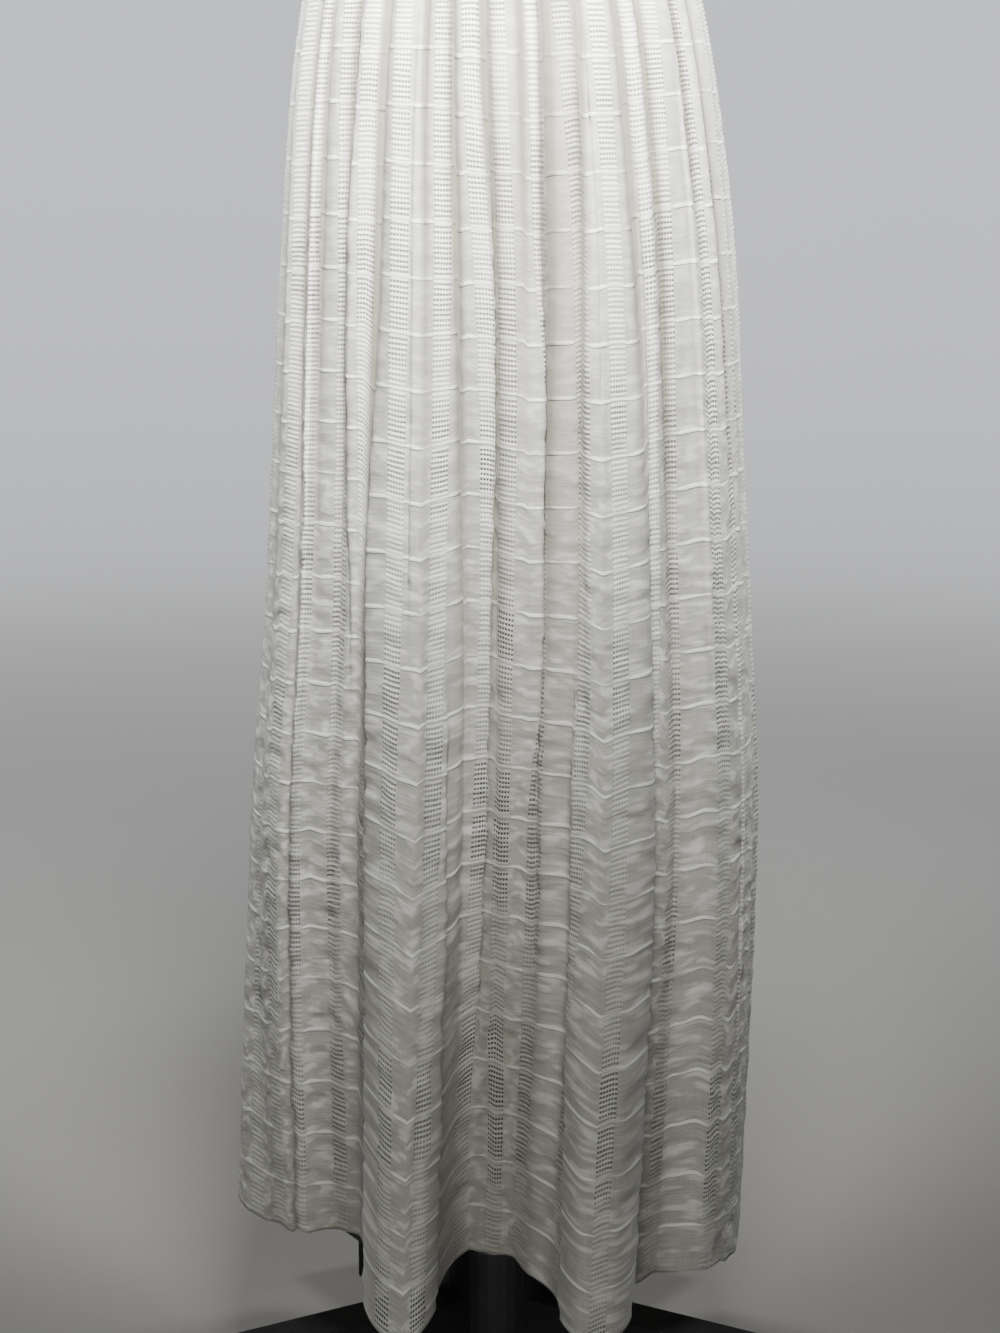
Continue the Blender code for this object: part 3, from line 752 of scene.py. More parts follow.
def skirt_half(name, first, last, seam_shift, stripes, seed):
    """One width of gauze; its object, with UVs in metres and the fold depth as an attribute."""
    angles = cloth_columns(first, last, SKIRT_COLUMNS)
    share = shares_of(angles, rows_down)
    angle, down = np.meshgrid(angles, rows_down)
    points, deep = skirt_points(angle, share)
    across = cloth_across(points, angles, share, stripes)
    flat_ends = smooth(np.minimum(angle - first, last - angle) / SEAM_FADE)
    top_end = smooth(share / TOP_FADE)
    to_side = np.abs(turn_between(2.0 * angle, 180.0)) / 2.0
    calm = SIDE_CALM + (1.0 - SIDE_CALM) * smooth((to_side - CALM_FROM) / CALM_OVER)
    relief = crease_relief(angle, share) + calm * weave_relief(across, down, share, seed)
    points = points - normals_of(points) * (relief * flat_ends * top_end)[..., None]
    points[..., 1] += seam_shift
    scallop = HEM_WAVE * relief_noise(angle, 0.0 * angle, SCALLOP_DEGREES, 1.0, seed + 5)
    points[..., 2] += scallop * MM * flat_ends * smooth((share - 0.95) / SCALLOP_FADE)

    inward = normals_of(points)[-1]
    inward[:, 2] = 0.0
    turned = []
    for inset, rise in HEM_TURN:
        turned.append(points[-1] + inward * inset * MM + np.array((0.0, 0.0, rise * MM)))
    points = np.concatenate((points, np.stack(turned)))
    across = np.concatenate((across, np.repeat(across[-1:], len(HEM_TURN), axis=0)))
    hem_rows = SKIRT_LENGTH + np.array(column(HEM_TURN, 1))[:, None] * MM
    down = np.concatenate((down, np.repeat(hem_rows, len(angles), axis=1)))
    deep = np.concatenate((deep, np.repeat(deep[-1:], len(HEM_TURN), axis=0)))
    faces = grid_faces(*points.shape[:2])
    cloth = np.stack((across, -down), axis=-1)
    # the fold depth goes into the 'fold' attribute, which the gauze turns into painted shade
    thing = surface(name, points, faces, cloth, np.clip(deep / FOLD_DEEPEST, 0.0, 1.0))
    print(name, "width at mid height", lengths_along(points[len(rows_down) // 2])[-1].round(3))
    return thing


half_gap = 0.5 * SEAM_GAP
skirt_front = skirt_half("skirt_front_cloth", -90.0, 90.0, -half_gap, STRIPES_FRONT, 11)
skirt_back = skirt_half("skirt_back_cloth", 90.0, 270.0, half_gap, STRIPES_BACK, 37)

# %% [markdown]
# ## The form's surface
# A dress form is a padded shell without arms or legs. Its section is an oval at each height,
# deeper behind or in front. The fine form here is the same formula as the solid's, with more
# rows and columns and with rounded rims, so its outline is smooth where it shows at the neck.

# %% Sizes and formula of the form
FORM_RINGS = (
    # height, half width, front depth, back depth
    (0.800, 0.132, 0.088, 0.090),
    (0.812, 0.146, 0.099, 0.103),
    (0.880, 0.157, 0.108, 0.114),
    (0.960, 0.160, 0.110, 0.118),
    (1.040, 0.151, 0.105, 0.110),
    (1.120, 0.133, 0.096, 0.095),
    (1.200, 0.118, 0.088, 0.086),
    (1.280, 0.127, 0.098, 0.090),
    (1.350, 0.140, 0.114, 0.098),
    (1.420, 0.148, 0.111, 0.102),
    (1.480, 0.163, 0.098, 0.099),
    (1.525, 0.176, 0.081, 0.088),
    (1.550, 0.170, 0.069, 0.076),
    (1.567, 0.146, 0.062, 0.066),
    (1.582, 0.112, 0.058, 0.060),
    (1.598, 0.079, 0.055, 0.056),
    (1.618, 0.061, 0.053, 0.053),
    (1.660, 0.055, 0.050, 0.050),
    (1.690, 0.053, 0.049, 0.049),
)
FORM_COLUMNS = 96
RIM = 0.004
BODY_ROWS = 150
RIM_ROWS = 5
END_RINGS = (0.66, 0.33)


def form_points(angle, z):
    """Points of the form's surface: an oval at each height, deeper in front or behind."""
    turn = np.radians(angle)
    half_width, front, back = (sized(FORM_RINGS, number, z) for number in (1, 2, 3))
    depth = np.where(np.cos(turn) >= 0, front, back)
    return np.stack((half_width * np.sin(turn), -depth * np.cos(turn), z), axis=-1)


def form_normals(angle, z):
    """Outward directions of the form's surface, from its slopes round and up."""
    step_angle, step_z = 0.5, 0.0005
    around = form_points(angle + step_angle, z) - form_points(angle - step_angle, z)
    upwards = form_points(angle, z + step_z) - form_points(angle, z - step_z)
    normal = np.cross(around, upwards)
    return normal / np.linalg.norm(normal, axis=-1, keepdims=True)


def form_surface():
    """The closed form: rings from its underside to its neck, each end drawn in over a round rim
    to a single point."""
    low, high = FORM_RINGS[0][0], FORM_RINGS[-1][0]
    body = np.linspace(low + RIM, high - RIM, BODY_ROWS)
    quarter = np.linspace(0.0, 0.5 * math.pi, RIM_ROWS + 1)[1:]
    fall, draw_in = RIM * (1 - np.sin(quarter)), RIM * (1 - np.cos(quarter))
    z = np.concatenate((low + fall[::-1], body, high - fall))
    inset = np.concatenate((draw_in[::-1], 0 * body, draw_in))
    angles = np.arange(FORM_COLUMNS) * 360.0 / FORM_COLUMNS
    angle, height = np.meshgrid(angles, z)
    rings = form_points(angle, height)
    radius = np.linalg.norm(rings[..., :2], axis=-1, keepdims=True)
    rings[..., :2] *= 1.0 - inset[:, None, None] / radius
    ends = []
    for ring in (rings[0], rings[-1]):
        ends.append([ring * np.array((s, s, 1.0)) for s in END_RINGS])
    rows = np.concatenate((np.stack(ends[0][::-1]), rings, np.stack(ends[1])))
    flat = rows.reshape(-1, 3)
    points = np.concatenate((flat, [(0.0, 0.0, low), (0.0, 0.0, high)]))
    index = np.arange(len(rows) * FORM_COLUMNS).reshape(len(rows), FORM_COLUMNS)
    after = np.roll(index, -1, axis=1)
    quads = np.stack((index[:-1], after[:-1], after[1:], index[1:]), axis=-1).reshape(-1, 4)
    foot = np.stack((np.full(FORM_COLUMNS, len(flat)), after[0], index[0]), axis=-1)
    top = np.stack((np.full(FORM_COLUMNS, len(flat) + 1), index[-1], after[-1]), axis=-1)
    mesh = bpy.data.meshes.new("form_body")
    mesh.from_pydata(points.tolist(), [], quads.tolist() + foot.tolist() + top.tolist())
    mesh.shade_smooth()
    thing = bpy.data.objects.new("form_body", mesh)
    bpy.context.scene.collection.objects.link(thing)
    print("form rings:", len(z), "faces:", len(mesh.polygons))
    return thing


form_body = form_surface()

# %% [markdown]
# ## The bodice
# The bodice is a front and a back panel with a round neck and wide armholes, cut a little larger
# than the form. Each row of the panel's grid runs from one cut edge to the other, so the edges
# are exact: below the neck a row crosses the whole panel, and above it the panel parts into two
# shoulders that share the row at the neck's lowest point.

# %% Sizes of the bodice
BODICE_ROOM = (
    # height, room between the form and the cloth's inside
    (1.200, 0.0080),
    (1.350, 0.0050),
    (1.480, 0.0040),
    (1.550, 0.0012),
    (1.567, 0.0006),
    (1.618, 0.0006),
)
CLOTH = 0.002
BODICE_CLOTH = 0.0009
NECK_Z = 1.612
NECK_HALF_WIDTH = 0.080
NECK_DROP_FRONT = 0.108
NECK_DROP_BACK = 0.046
ARMHOLE_Z = 1.482
ARMHOLE_HALF_DEPTH = 0.056
ARMHOLE_HALF_HEIGHT = 0.068
EDGE_TURN = 0.007
PANEL_COLUMNS = 64
ROW_STEP = 0.003
ROW_NEAREST = 0.0004
ARM_ROWS = 58
NECK_TURN, NECK_ROWS = 1.5, 60


def outer_angle(z, back):
    """How far round a row reaches: to the armhole's oval, or to the seam above and below it."""
    rise = np.clip((z - ARMHOLE_Z) / ARMHOLE_HALF_HEIGHT, -1.0, 1.0)
    reach = ARMHOLE_HALF_DEPTH * np.sqrt(1.0 - rise**2)
    depth = sized(FORM_RINGS, 3 if back else 2, z)
    room = sized(BODICE_ROOM, 1, z) + CLOTH
    return np.degrees(np.arccos(np.clip(reach / (depth + room), 0.0, 1.0)))


def inner_angle(z, drop):
    """Where a row starts beside the neck: on its oval, or at the middle below it."""
    fall = np.clip((NECK_Z - z) / drop, 0.0, 1.0)
    reach = NECK_HALF_WIDTH * np.sqrt(1.0 - fall**2)
    room = sized(BODICE_ROOM, 1, z) + CLOTH
    half_width = sized(FORM_RINGS, 1, z) + room
    return np.degrees(np.arcsin(np.clip(reach / half_width, 0.0, 1.0)))


def bodice_heights(drop):
    """Heights of a panel's rows: even on the body, closer where an oval turns quickly."""
    body = np.arange(WAIST_Z + ROW_STEP, ARMHOLE_Z - ARMHOLE_HALF_HEIGHT - MM, ROW_STEP)
    arm = ARMHOLE_Z - ARMHOLE_HALF_HEIGHT * np.cos(np.linspace(0.0, math.pi, ARM_ROWS))
    neck = NECK_Z - drop * np.cos(np.linspace(0.0, NECK_TURN, NECK_ROWS))
    neck = neck[inner_angle(neck, drop) < 89.0]
    heights = np.unique(np.round(np.concatenate(([WAIST_Z + SEAM_GAP], body, arm, neck)), 5))
    heights = heights[heights <= neck[-1] + 1e-6]
    heights = heights[np.concatenate(([True], np.diff(heights) > ROW_NEAREST))]
    low = NECK_Z - drop
    heights[np.argmin(np.abs(heights - low))] = low
    return heights


print("rows in the front panel:", len(bodice_heights(NECK_DROP_FRONT)))

# %% Relief and panels of the bodice
BODICE_GATHERS = 15
BODICE_WEAVE = 0.8
BODICE_PUCKERS = 0.30
GATHER_DEPTH = 2.2  # mm
GATHER_FADE = 0.045
GATHER_START = 0.004
GATHER_TOP = -0.2
DOUBLED = 0.55  # mm
ARMHOLE_SIDE = 0.09
FAR = 9.0  # stands for no armhole near
# metres of cloth for a turn of one radian, and the place of the panel's middle
MEAN_RADIUS = 0.145
MIDDLE_PLACE = 0.02
WELD = 0.00002
BODICE_CREASES = (
    # angle, height of its middle, half length, half width, slope in metres a degree, height in mm
    (-62, 1.395, 20, 0.006, -0.0011, 1.6),
    (-58, 1.375, 22, 0.007, -0.0009, -1.6),
    (60, 1.398, 20, 0.006, 0.0011, 1.6),
    (57, 1.374, 22, 0.007, 0.0009, -1.6),
    (-20, 1.262, 24, 0.006, 0.0003, 1.4),
    (26, 1.256, 22, 0.006, -0.0004, 1.4),
    (150, 1.262, 26, 0.006, 0.0003, 1.4),
    (205, 1.270, 26, 0.006, -0.0003, 1.4),
    (125, 1.400, 22, 0.007, -0.0008, 1.5),
    (236, 1.402, 22, 0.007, 0.0008, 1.5),
)


def bodice_relief(angle, z, across, along, edge, seed):
    """Cords, slight puckers, valleys that rise from the waist seam, soft creases, and the doubled
    cloth beside each cut edge."""
    relief = BODICE_WEAVE * weave_relief(across, along, np.full_like(z, BODICE_PUCKERS), seed)
    fading = np.exp(-(z - WAIST_Z) / GATHER_FADE) * smooth((z - WAIST_Z) / GATHER_START)
    uneven = 1.5 * np.sin(np.radians(3.0 * angle))
    wave = np.cos(2 * math.pi * BODICE_GATHERS * angle / 180.0 + uneven)
    relief = relief - GATHER_DEPTH * MM * fading * np.maximum(wave, GATHER_TOP)
    for at, height, half_length, half_width, slope, depth in BODICE_CREASES:
        off = turn_between(angle, at)
        rise = (z - (height + slope * off)) / half_width
        relief = relief + depth * MM * np.exp(-(rise**2) - (off / half_length) ** 2)
    near = smooth((EDGE_TURN + 0.0012 - edge) / 0.0024)
    return relief * (1.0 - 0.7 * near) + DOUBLED * MM * near


def bodice_half(name, middle, drop, seam_shift, seed):
    """A panel of the bodice around the angle of its middle, 0 in front and 180 behind."""
    heights = bodice_heights(drop)
    outer = outer_angle(heights, middle > 90.0)
    inner = inner_angle(heights, drop)
    profile = form_points(np.full(400, 45.0), np.linspace(WAIST_Z, NECK_Z, 400))
    length = lengths_along(profile)
    share = np.linspace(0.0, 1.0, PANEL_COLUMNS // 2 + 1)
    parts = []
    for side in (-1.0, 1.0):
        reach = inner[:, None] + (outer - inner)[:, None] * share
        angle = middle + side * reach
        z = np.repeat(heights[:, None], len(share), axis=1)
        across = np.radians(side * reach) * MEAN_RADIUS + MIDDLE_PLACE
        along = np.interp(z, profile[:, 2], length)
        room = sized(BODICE_ROOM, 1, z) + CLOTH
        base = form_points(angle, z) + room[..., None] * form_normals(angle, z)
        neck_x = np.abs(base[..., 0]) / NECK_HALF_WIDTH
        neck = np.hypot(neck_x, (base[..., 2] - NECK_Z) / drop) - 1.0
        arm = np.hypot(base[..., 1] / ARMHOLE_HALF_DEPTH, (z - ARMHOLE_Z) / ARMHOLE_HALF_HEIGHT) - 1.0
        arm = np.where(np.abs(base[..., 0]) > ARMHOLE_SIDE, arm, FAR)
        edge = np.minimum(neck * min(NECK_HALF_WIDTH, drop), arm * ARMHOLE_HALF_DEPTH)
        relief = bodice_relief(angle, z, across, along, edge, seed)
        seam = smooth((90.0 - reach) / SEAM_FADE) * smooth((z - WAIST_Z) / 0.003)
        base += form_normals(angle, z) * (relief * seam)[..., None]
        base[0, :, 2] = WAIST_Z + SEAM_GAP
        base[..., 1] += seam_shift
        parts.append((base, np.stack((across, along), axis=-1), grid_faces(*z.shape, flip=side < 0)))
    size = parts[0][0].shape[0] * parts[0][0].shape[1]
    points = np.concatenate([part[0].reshape(-1, 3) for part in parts])
    cloth = np.concatenate([part[1].reshape(-1, 2) for part in parts])
    faces = np.concatenate((parts[0][2], parts[1][2] + size))
    thing = surface(name, points, faces, cloth, np.zeros(len(points)))
    shape = bmesh.new()
    shape.from_mesh(thing.data)
    bmesh.ops.remove_doubles(shape, verts=shape.verts, dist=WELD)
    bmesh.ops.recalc_face_normals(shape, faces=shape.faces)
    shape.to_mesh(thing.data)
    shape.free()
    wall = thing.modifiers.new("cloth", "SOLIDIFY")
    wall.thickness = BODICE_CLOTH
    wall.offset = -1.0
    print(name, "rows", len(heights))
    return thing


bodice_front = bodice_half("bodice_front_cloth", 0.0, NECK_DROP_FRONT, -half_gap, 53)
bodice_back = bodice_half("bodice_back_cloth", 180.0, NECK_DROP_BACK, half_gap, 71)

# %% [markdown]
# ## Node groups for the cloth
# Three effects are shared by all four pieces of gauze. `ladder openwork` finds the stripes and
# their bars and holes from the flat cloth place. `slub cords` draws the thick yarns. `plain
# weave` gives the fine yarns of both directions their slightly uneven tone, and the thin cloth
# its small wrinkles. Each works in metres of flat cloth, so its sizes are real ones.

# %% Ladder openwork
VECTOR, FLOAT = "NodeSocketVector", "NodeSocketFloat"
# how far the threads drift, and where the edges of a stripe, a bar and a yarn lie, in metres
DRIFT = 0.0016
STRIPE_EDGE = (0.0004, -0.0004)
BAR_EDGE = (0.0008, 0.0013)
YARN_EDGE = (0.00025, 0.00055)
DRIFT_GRAINS = 55.0
YARN_WHITENESS = 0.6


def ladder_group():
    """Hole mask and thread mask of the openwork, from the cloth's place in metres."""
    inputs = (("Cloth", VECTOR, None), ("Stripe Pitch", FLOAT, 0.04), ("Half Width", FLOAT, 0.007),
              ("Bar Pitch", FLOAT, 0.004), ("Yarn Pitch", FLOAT, 0.0024))
    tree, given, result = new_group("ladder openwork", inputs, ("Hole", "Bar"))
    place = axes_of(tree, given["Cloth"])
    wander = noise(tree, given["Cloth"], DRIFT_GRAINS, 1.0)
    drift = times(tree, maths(tree, "SUBTRACT", wander, 0.5), DRIFT)
    u, v = plus(tree, place[0], drift), plus(tree, place[1], drift)
    half_pitch = times(tree, given["Stripe Pitch"], 0.5)
    centre = maths(tree, "WRAP", u, half_pitch, times(tree, half_pitch, -1.0))
    from_edge = maths(tree, "SUBTRACT", maths(tree, "ABSOLUTE", centre), given["Half Width"])
    stripe = ramp(tree, from_edge, *STRIPE_EDGE)
    bar = maths(tree, "PINGPONG", v, times(tree, given["Bar Pitch"], 0.5))
    bar_gap = ramp(tree, bar, *BAR_EDGE)
    yarn = maths(tree, "PINGPONG", centre, times(tree, given["Yarn Pitch"], 0.5))
    yarn_gap = ramp(tree, yarn, *YARN_EDGE)
    yarn_line = times(tree, maths(tree, "SUBTRACT", 1.0, yarn_gap), YARN_WHITENESS)
    threads = maths(tree, "MAXIMUM", maths(tree, "SUBTRACT", 1.0, bar_gap), yarn_line)
    hole = times(tree, bar_gap, yarn_gap, stripe)
    feed(tree, result, Hole=hole, Bar=times(tree, threads, stripe))
    return tree


ladder = ladder_group()
print("group:", ladder.name)

# %% Slub cords
SLUBS_ACROSS = 42.0
SLUB_STEP = 3.7
# each row gives a ramp: its two ends, and where it has four numbers the values there
UNEVEN = (0.30, 0.56, 0.25, 1.0)
CORD_BAND = (0.005, 0.012, 0.30, 1.0)
CORD_EDGE = (1.15, 0.55)
CORD_STRENGTH = (0.0, 0.7, 0.45, 1.0)
KNOT_EDGE = (0.0035, 0.0020)


def cord_group():
    """Mask and height of the thick weft yarns: lens-shaped slubs of uneven width along each."""
    inputs = (("Cloth", VECTOR, None), ("Pitch", FLOAT, 0.0434), ("Phase", FLOAT, 0.0),
              ("Stripe Pitch", FLOAT, 0.04), ("Thin", FLOAT, 0.0004), ("Thick", FLOAT, 0.0019))
    tree, given, result = new_group("slub cords", inputs, ("Cord", "Knot", "Height"))
    place = axes_of(tree, given["Cloth"])
    down = plus(tree, place[1], given["Phase"])
    half = times(tree, given["Pitch"], 0.5)
    number = maths(tree, "ROUND", maths(tree, "DIVIDE", down, given["Pitch"]))
    off = maths(tree, "ABSOLUTE", maths(tree, "WRAP", down, half, times(tree, half, -1.0)))
    spot = {0: times(tree, place[0], SLUBS_ACROSS), 1: times(tree, number, SLUB_STEP)}
    uneven = noise(tree, node(tree, "ShaderNodeCombineXYZ", spot).outputs[0], 1.0, 1.5)
    from_stripe = maths(tree, "PINGPONG", place[0], times(tree, given["Stripe Pitch"], 0.5))
    width = times(tree, ramp(tree, uneven, *UNEVEN), ramp(tree, from_stripe, *CORD_BAND))
    swelling = times(tree, width, maths(tree, "SUBTRACT", given["Thick"], given["Thin"]))
    from_line = maths(tree, "DIVIDE", off, plus(tree, given["Thin"], swelling))
    cord = times(tree, ramp(tree, from_line, *CORD_EDGE), ramp(tree, width, *CORD_STRENGTH))
    feed(tree, result, Cord=cord, Knot=ramp(tree, off, *KNOT_EDGE),
         Height=times(tree, cord, plus(tree, 0.4, width)))
    return tree


cords = cord_group()
print("group:", cords.name)

# %% Plain weave
YARN_STRETCHES = ((38.0, 900.0, 1.0), (900.0, 30.0, 1.0))
WEFT_SHARE, WARP_SHARE = 0.75, 0.25
WRINKLE_LENSES = ((0.26, 52.0, 118.0), (-0.30, 46.0, 104.0))


def weave_group():
    """Tone and height of fine yarns in both directions, each yarn a little thick or thin, and the
    height of small wrinkles: the higher of two fields of flat lenses with opposite tilts."""
    inputs = (("Cloth", VECTOR, None), ("Yarns", FLOAT, 1500.0))
    tree, given, result = new_group("plain weave", inputs, ("Tone", "Height", "Wrinkle"))
    place = axes_of(tree, given["Cloth"])
    weft, warp = (maths(tree, "SINE", times(tree, place[axis], times(tree, given["Yarns"], 2.0)))
                  for axis in (0, 1))
    tones = []
    for stretch in YARN_STRETCHES:
        scaled = node(tree, "ShaderNodeMapping", {"Vector": given["Cloth"], "Scale": stretch})
        tones.append(noise(tree, scaled.outputs[0], 1.0, 2.0))
    tone = plus(tree, times(tree, tones[0], WEFT_SHARE), times(tree, tones[1], WARP_SHARE))
    lenses = []
    for tilt, across, along in WRINKLE_LENSES:
        turned = {"Vector": given["Cloth"], "Rotation": (0.0, 0.0, tilt), "Scale": (across, along, 1.0)}
        lenses.append(noise(tree, node(tree, "ShaderNodeMapping", turned).outputs[0], 1.0, 1.0))
    feed(tree, result, Wrinkle=maths(tree, "MAXIMUM", *lenses), Tone=tone,
         Height=plus(tree, times(tree, weft, warp, 0.3), tone))
    return tree


weave = weave_group()
print("group:", weave.name)

# %% [markdown]
# ## The gauze
# Thin cotton is matt, with a faint sheen where fibres stand off its surface. Cords and bars are
# whiter than the plain bands, and the bars' whiteness fades towards the foot as painted light.
# Wrinkle tops low on the skirt get a painted highlight, deep folds a warmer and darker painted
# shade, and the holes let the inside show. A number that is the same all over, such as the sheen,
# sits on the shader itself.

# %% Gauze material
GAUZE_LIGHT = (0.95, 0.937, 0.858, 1.0)
GAUZE_PLAIN = (0.39, 0.383, 0.338, 1.0)
# painted shade: the darker, warmer colour laid into the folds' valleys
GAUZE_PAINTED_SHADE = (0.225, 0.206, 0.164, 1.0)
# each pair is a strength at the top of the skirt and at its foot, and a REACH the places down the
# cloth, in metres, between which it changes
WRINKLES, WRINKLE_REACH = (1.3, 3.0), (-0.15, -0.85)
# how far the painted shade spreads from a valley and how strong it is, from the top to the foot
FOLD_WIDTH, FOLD_SHADE, FOLD_REACH = (1.7, 1.0), (1.2, 0.5), (-0.20, -0.75)
# painted highlight: whiter wrinkle tops, stronger towards the foot
BLISTER_HIGHLIGHT, BLISTER_REACH = (0.15, 0.45), (-0.15, -0.65)
# the bars are whiter yarn; their fall from the top to the foot is painted light
BAR_WHITE_AND_LIGHT, BAR_REACH = (0.85, 0.42), (-0.40, -0.80)
TONE_WHITENESS = 0.25
BLISTER_TOPS = (0.53, 0.70)
FOLD_EDGE = (0.12, 0.9)
PATCH_GRAINS, PATCH_EDGE, SHUT_PATCH = 9.0, (0.40, 0.62), 0.30
WEAVE_HEIGHT, BAR_HEIGHT = 0.35, 0.8


def gauze_material(name, phase, openness):
    """Off-white leno gauze on a UV map in metres; phase is the place of the first cord."""
    made, tree, shader = new_material(name, Roughness=0.88, Sheen_Weight=0.25, Sheen_Roughness=0.45)
    cloth = node(tree, "ShaderNodeUVMap", uv_map="cloth").outputs[0]
    fold = node(tree, "ShaderNodeAttribute", attribute_name="fold").outputs["Fac"]
    open_work = use_group(tree, ladder, Cloth=cloth, Stripe_Pitch=STRIPE_PITCH)
    thick = use_group(tree, cords, Cloth=cloth, Pitch=CORD_PITCH, Phase=phase,
                      Stripe_Pitch=STRIPE_PITCH)
    fine = use_group(tree, weave, Cloth=cloth)

    down = axes_of(tree, cloth)[1]
    # painted highlight on the tops of the small wrinkles, growing towards the foot
    blisters = times(tree, ramp(tree, fine["Wrinkle"], *BLISTER_TOPS),
                     ramp(tree, down, *BLISTER_REACH, *BLISTER_HIGHLIGHT))
    tone = times(tree, ramp(tree, fine["Tone"], 0.32, 0.68), TONE_WHITENESS)
    bright = maths(tree, "MAXIMUM", plus(tree, tone, blisters), thick["Cord"])
    # bars: the yarn's own whiteness, with painted light that fades towards the foot
    bars = times(tree, open_work["Bar"], ramp(tree, down, *BAR_REACH, *BAR_WHITE_AND_LIGHT))
    bright = maths(tree, "MAXIMUM", bright, bars, clamp=True)
    colour = blend_colour(tree, bright, GAUZE_PLAIN, GAUZE_LIGHT)
    # painted shade in the valleys from the fold attribute: darker and warmer, widest near the top
    widened = times(tree, fold, ramp(tree, down, *FOLD_REACH, *FOLD_WIDTH))
    deep = times(tree, ramp(tree, widened, *FOLD_EDGE),
                 ramp(tree, down, *FOLD_REACH, *FOLD_SHADE), clamp=True)
    colour = blend_colour(tree, deep, colour, GAUZE_PAINTED_SHADE)

    shut = maths(tree, "SUBTRACT", 1.0, thick["Knot"], clamp=True)
    patches = noise(tree, cloth, PATCH_GRAINS, 0.0)
    clear = ramp(tree, patches, *PATCH_EDGE, SHUT_PATCH * openness, openness)
    hole = times(tree, open_work["Hole"], shut, clear)
    feed(tree, shader.inputs, Base_Color=colour, Alpha=maths(tree, "SUBTRACT", 1.0, hole, clamp=True))

    wrinkles = times(tree, fine["Wrinkle"], ramp(tree, down, *WRINKLE_REACH, *WRINKLES))
    height = plus(tree, times(tree, fine["Height"], WEAVE_HEIGHT), thick["Height"],
                  times(tree, open_work["Bar"], BAR_HEIGHT), wrinkles)
    bump(tree, shader, height, 0.7, 0.0006)
    return made


first_cord = CORD_PHASE * CORD_PITCH
skirt_gauze = gauze_material("gauze_skirt", -first_cord, 0.80)
bodice_gauze = gauze_material("gauze_bodice", first_cord, 0.55)
for cloth_piece, finish in ((skirt_front, skirt_gauze), (skirt_back, skirt_gauze),
                            (bodice_front, bodice_gauze), (bodice_back, bodice_gauze)):
    cloth_piece.data.materials.append(finish)
print("gauze on four pieces")

# %% [markdown]
# ## The form's cover, the paint and the rubber
# Three plain finishes, each with its own small detail: the jersey cover has fine ribs and a
# faint sheen, the stand's satin paint a slight orange peel, and the feet a matt grain. One shared
# group, `fine grain`, gives the cover, the paint, the rubber and later the floor their mottle.


# %% Fine grain
MOTTLES = 14.0
MOTTLE_SPAN = (0.35, 0.65)
ROUGH_SPAN = (0.3, 0.7)


def grain_group():
    """A mottled value and its height from an object's own place, with a scale in grains a metre."""
    inputs = (("Place", VECTOR, None), ("Grains", FLOAT, 400.0))
    tree, given, result = new_group("fine grain", inputs, ("Value", "Height"))
    broad = noise(tree, given["Place"], MOTTLES, 4.0)
    fine = noise(tree, given["Place"], given["Grains"], 2.0)
    feed(tree, result, Value=times(tree, plus(tree, broad, fine), 0.5), Height=fine)
    return tree


grain = grain_group()


def grained_material(name, dark, light, grains, rough, bump_height, **sockets):
    """A material whose colour and roughness vary with the grain group."""
    made, tree, shader = new_material(name, **sockets)
    place = node(tree, "ShaderNodeTexCoord").outputs["Object"]
    mottle = use_group(tree, grain, Place=place, Grains=grains)
    value = ramp(tree, mottle["Value"], *MOTTLE_SPAN)
    feed(tree, shader.inputs, Base_Color=blend_colour(tree, value, (*dark, 1.0), (*light, 1.0)),
         Roughness=ramp(tree, mottle["Value"], *ROUGH_SPAN, *rough))
    bump(tree, shader, mottle["Height"], 0.5, bump_height)
    return made


black_paint = grained_material("black_paint", (0.010, 0.010, 0.011), (0.020, 0.020, 0.021), 900.0,
                               (0.38, 0.52), 0.0001, Coat_Weight=0.15)
rubber = grained_material("foot_rubber", (0.016, 0.016, 0.016), (0.034, 0.033, 0.032), 1500.0,
                          (0.75, 0.9), 0.0002)
print("group:", grain.name)

# %% Jersey cover
JERSEY_DARK = (0.38, 0.34, 0.285, 1.0)
JERSEY_LIGHT = (0.46, 0.42, 0.355, 1.0)
RIBS_ROUND = 420.0
STITCHES_UP = 3600.0


def jersey_material():
    """Knitted cover: fine upright ribs broken into stitches, with a soft mottle."""
    made, tree, shader = new_material("form_jersey", Roughness=0.85, Sheen_Weight=0.35)
    place = node(tree, "ShaderNodeTexCoord").outputs["Object"]
    axes = axes_of(tree, place)
    rib = maths(tree, "SINE", times(tree, maths(tree, "ARCTAN2", axes[0], axes[1]), RIBS_ROUND))
    stitch = maths(tree, "SINE", times(tree, axes[2], STITCHES_UP))
    mottle = use_group(tree, grain, Place=place, Grains=300.0)
    value = ramp(tree, mottle["Value"], *MOTTLE_SPAN)
    feed(tree, shader.inputs, Base_Color=blend_colour(tree, value, JERSEY_DARK, JERSEY_LIGHT))
    bump(tree, shader, plus(tree, rib, times(tree, stitch, 0.5)), 0.4, 0.0003)
    return made


form_body.data.materials.append(jersey_material())
for name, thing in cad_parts.items():
    if name.startswith("foot"):
        thing.material_slots[0].material = rubber
    elif name.startswith(("leg", "hub", "pole")):
        thing.material_slots[0].material = black_paint
print("stand painted")

# %% [markdown]
# ## Floor and backdrop
# The studio is one pale sweep: a floor disc that curves up into a far wall all round, so that
# every side of the dress is seen before the same plain ground. The wall glows softly, as if it
# had its own lamps, and the glow fades out towards the dress. It is for the eye alone and
# throws no light back, so the shade at the hem stays deep.

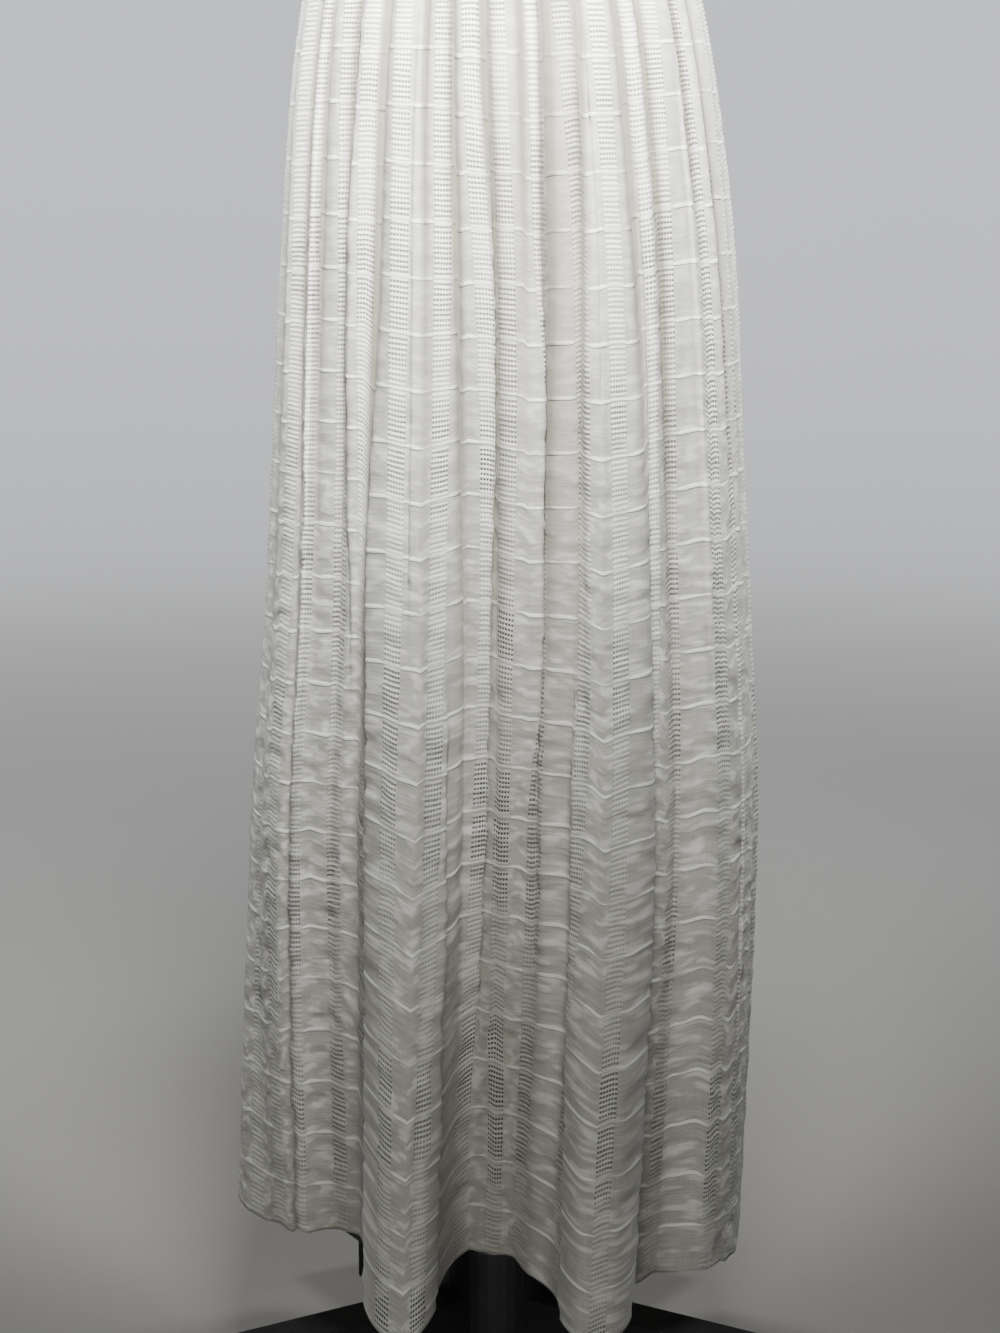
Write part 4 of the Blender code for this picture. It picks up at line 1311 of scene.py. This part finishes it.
# %% Stage
FLOOR_RADIUS = 5.0
SWEEP_RADIUS = 1.5
WALL_TOP = 5.0
FLOOR_DARK = (0.165, 0.162, 0.153, 1.0)
FLOOR_LIGHT = (0.185, 0.182, 0.173, 1.0)
WALL_GLOW = (0.93, 0.952, 0.995, 1.0)
MIDDLE_GLOW = (0.30, 0.30, 0.298, 1.0)
FLOOR_GLOW = (0.072, 0.070, 0.066, 1.0)
NEAR_GLOW = (0.5, 2.2)
FAR_GLOW = (1.8, 8.6)


def sweep_stage():
    """A turned profile: flat to the floor's radius, a quarter circle, then straight up."""
    arc = np.linspace(0.0, 0.5 * math.pi, 17)
    radius = np.concatenate(([0.0, 1.0, 3.0], FLOOR_RADIUS + SWEEP_RADIUS * np.sin(arc),
                             [FLOOR_RADIUS + SWEEP_RADIUS]))
    height = np.concatenate(([0.0, 0.0, 0.0], SWEEP_RADIUS * (1.0 - np.cos(arc)), [WALL_TOP]))
    turn = np.linspace(0.0, 2.0 * math.pi, 97)
    r, angle = np.meshgrid(radius, turn, indexing="ij")
    z = np.repeat(height[:, None], len(turn), axis=1)
    points = np.stack((r * np.cos(angle), r * np.sin(angle), z), axis=-1)
    return surface("studio_sweep", points, grid_faces(*r.shape, flip=True))


stage = sweep_stage()
floor_finish, floor_tree, floor_shader = new_material("studio_floor", Roughness=0.8)
floor_place = node(floor_tree, "ShaderNodeTexCoord").outputs["Object"]
floor_mottle = use_group(floor_tree, grain, Place=floor_place, Grains=60.0)
floor_colour = blend_colour(floor_tree, floor_mottle["Value"], FLOOR_DARK, FLOOR_LIGHT)
length = node(floor_tree, "ShaderNodeVectorMath", {0: floor_place}, operation="LENGTH")
from_middle = length.outputs["Value"]
near, far = (ramp(floor_tree, from_middle, *reach) for reach in (NEAR_GLOW, FAR_GLOW))
glow = blend_colour(floor_tree, near, FLOOR_GLOW, MIDDLE_GLOW)
glow = blend_colour(floor_tree, far, glow, WALL_GLOW)
seen = node(floor_tree, "ShaderNodeLightPath").outputs["Is Camera Ray"]
feed(floor_tree, floor_shader.inputs, Base_Color=floor_colour, Emission_Color=glow,
     Emission_Strength=seen)
stage.data.materials.append(floor_finish)
print("stage radius", FLOOR_RADIUS + SWEEP_RADIUS)

# %% [markdown]
# ## Joining the pieces to the frame
# Every piece rides on the part's one body. Each new piece stands for the solid that it was
# worked out from.

# %% Frame
REPLACED = (
    (skirt_front, "skirt_front", "gauze"),
    (skirt_back, "skirt_back", "gauze"),
    (bodice_front, "bodice_front", "gauze"),
    (bodice_back, "bodice_back", "gauze"),
    (form_body, "dress_form", "form_cover"),
)
for piece, solid, finish in REPLACED:
    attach(piece, "root")
    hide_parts(solid)
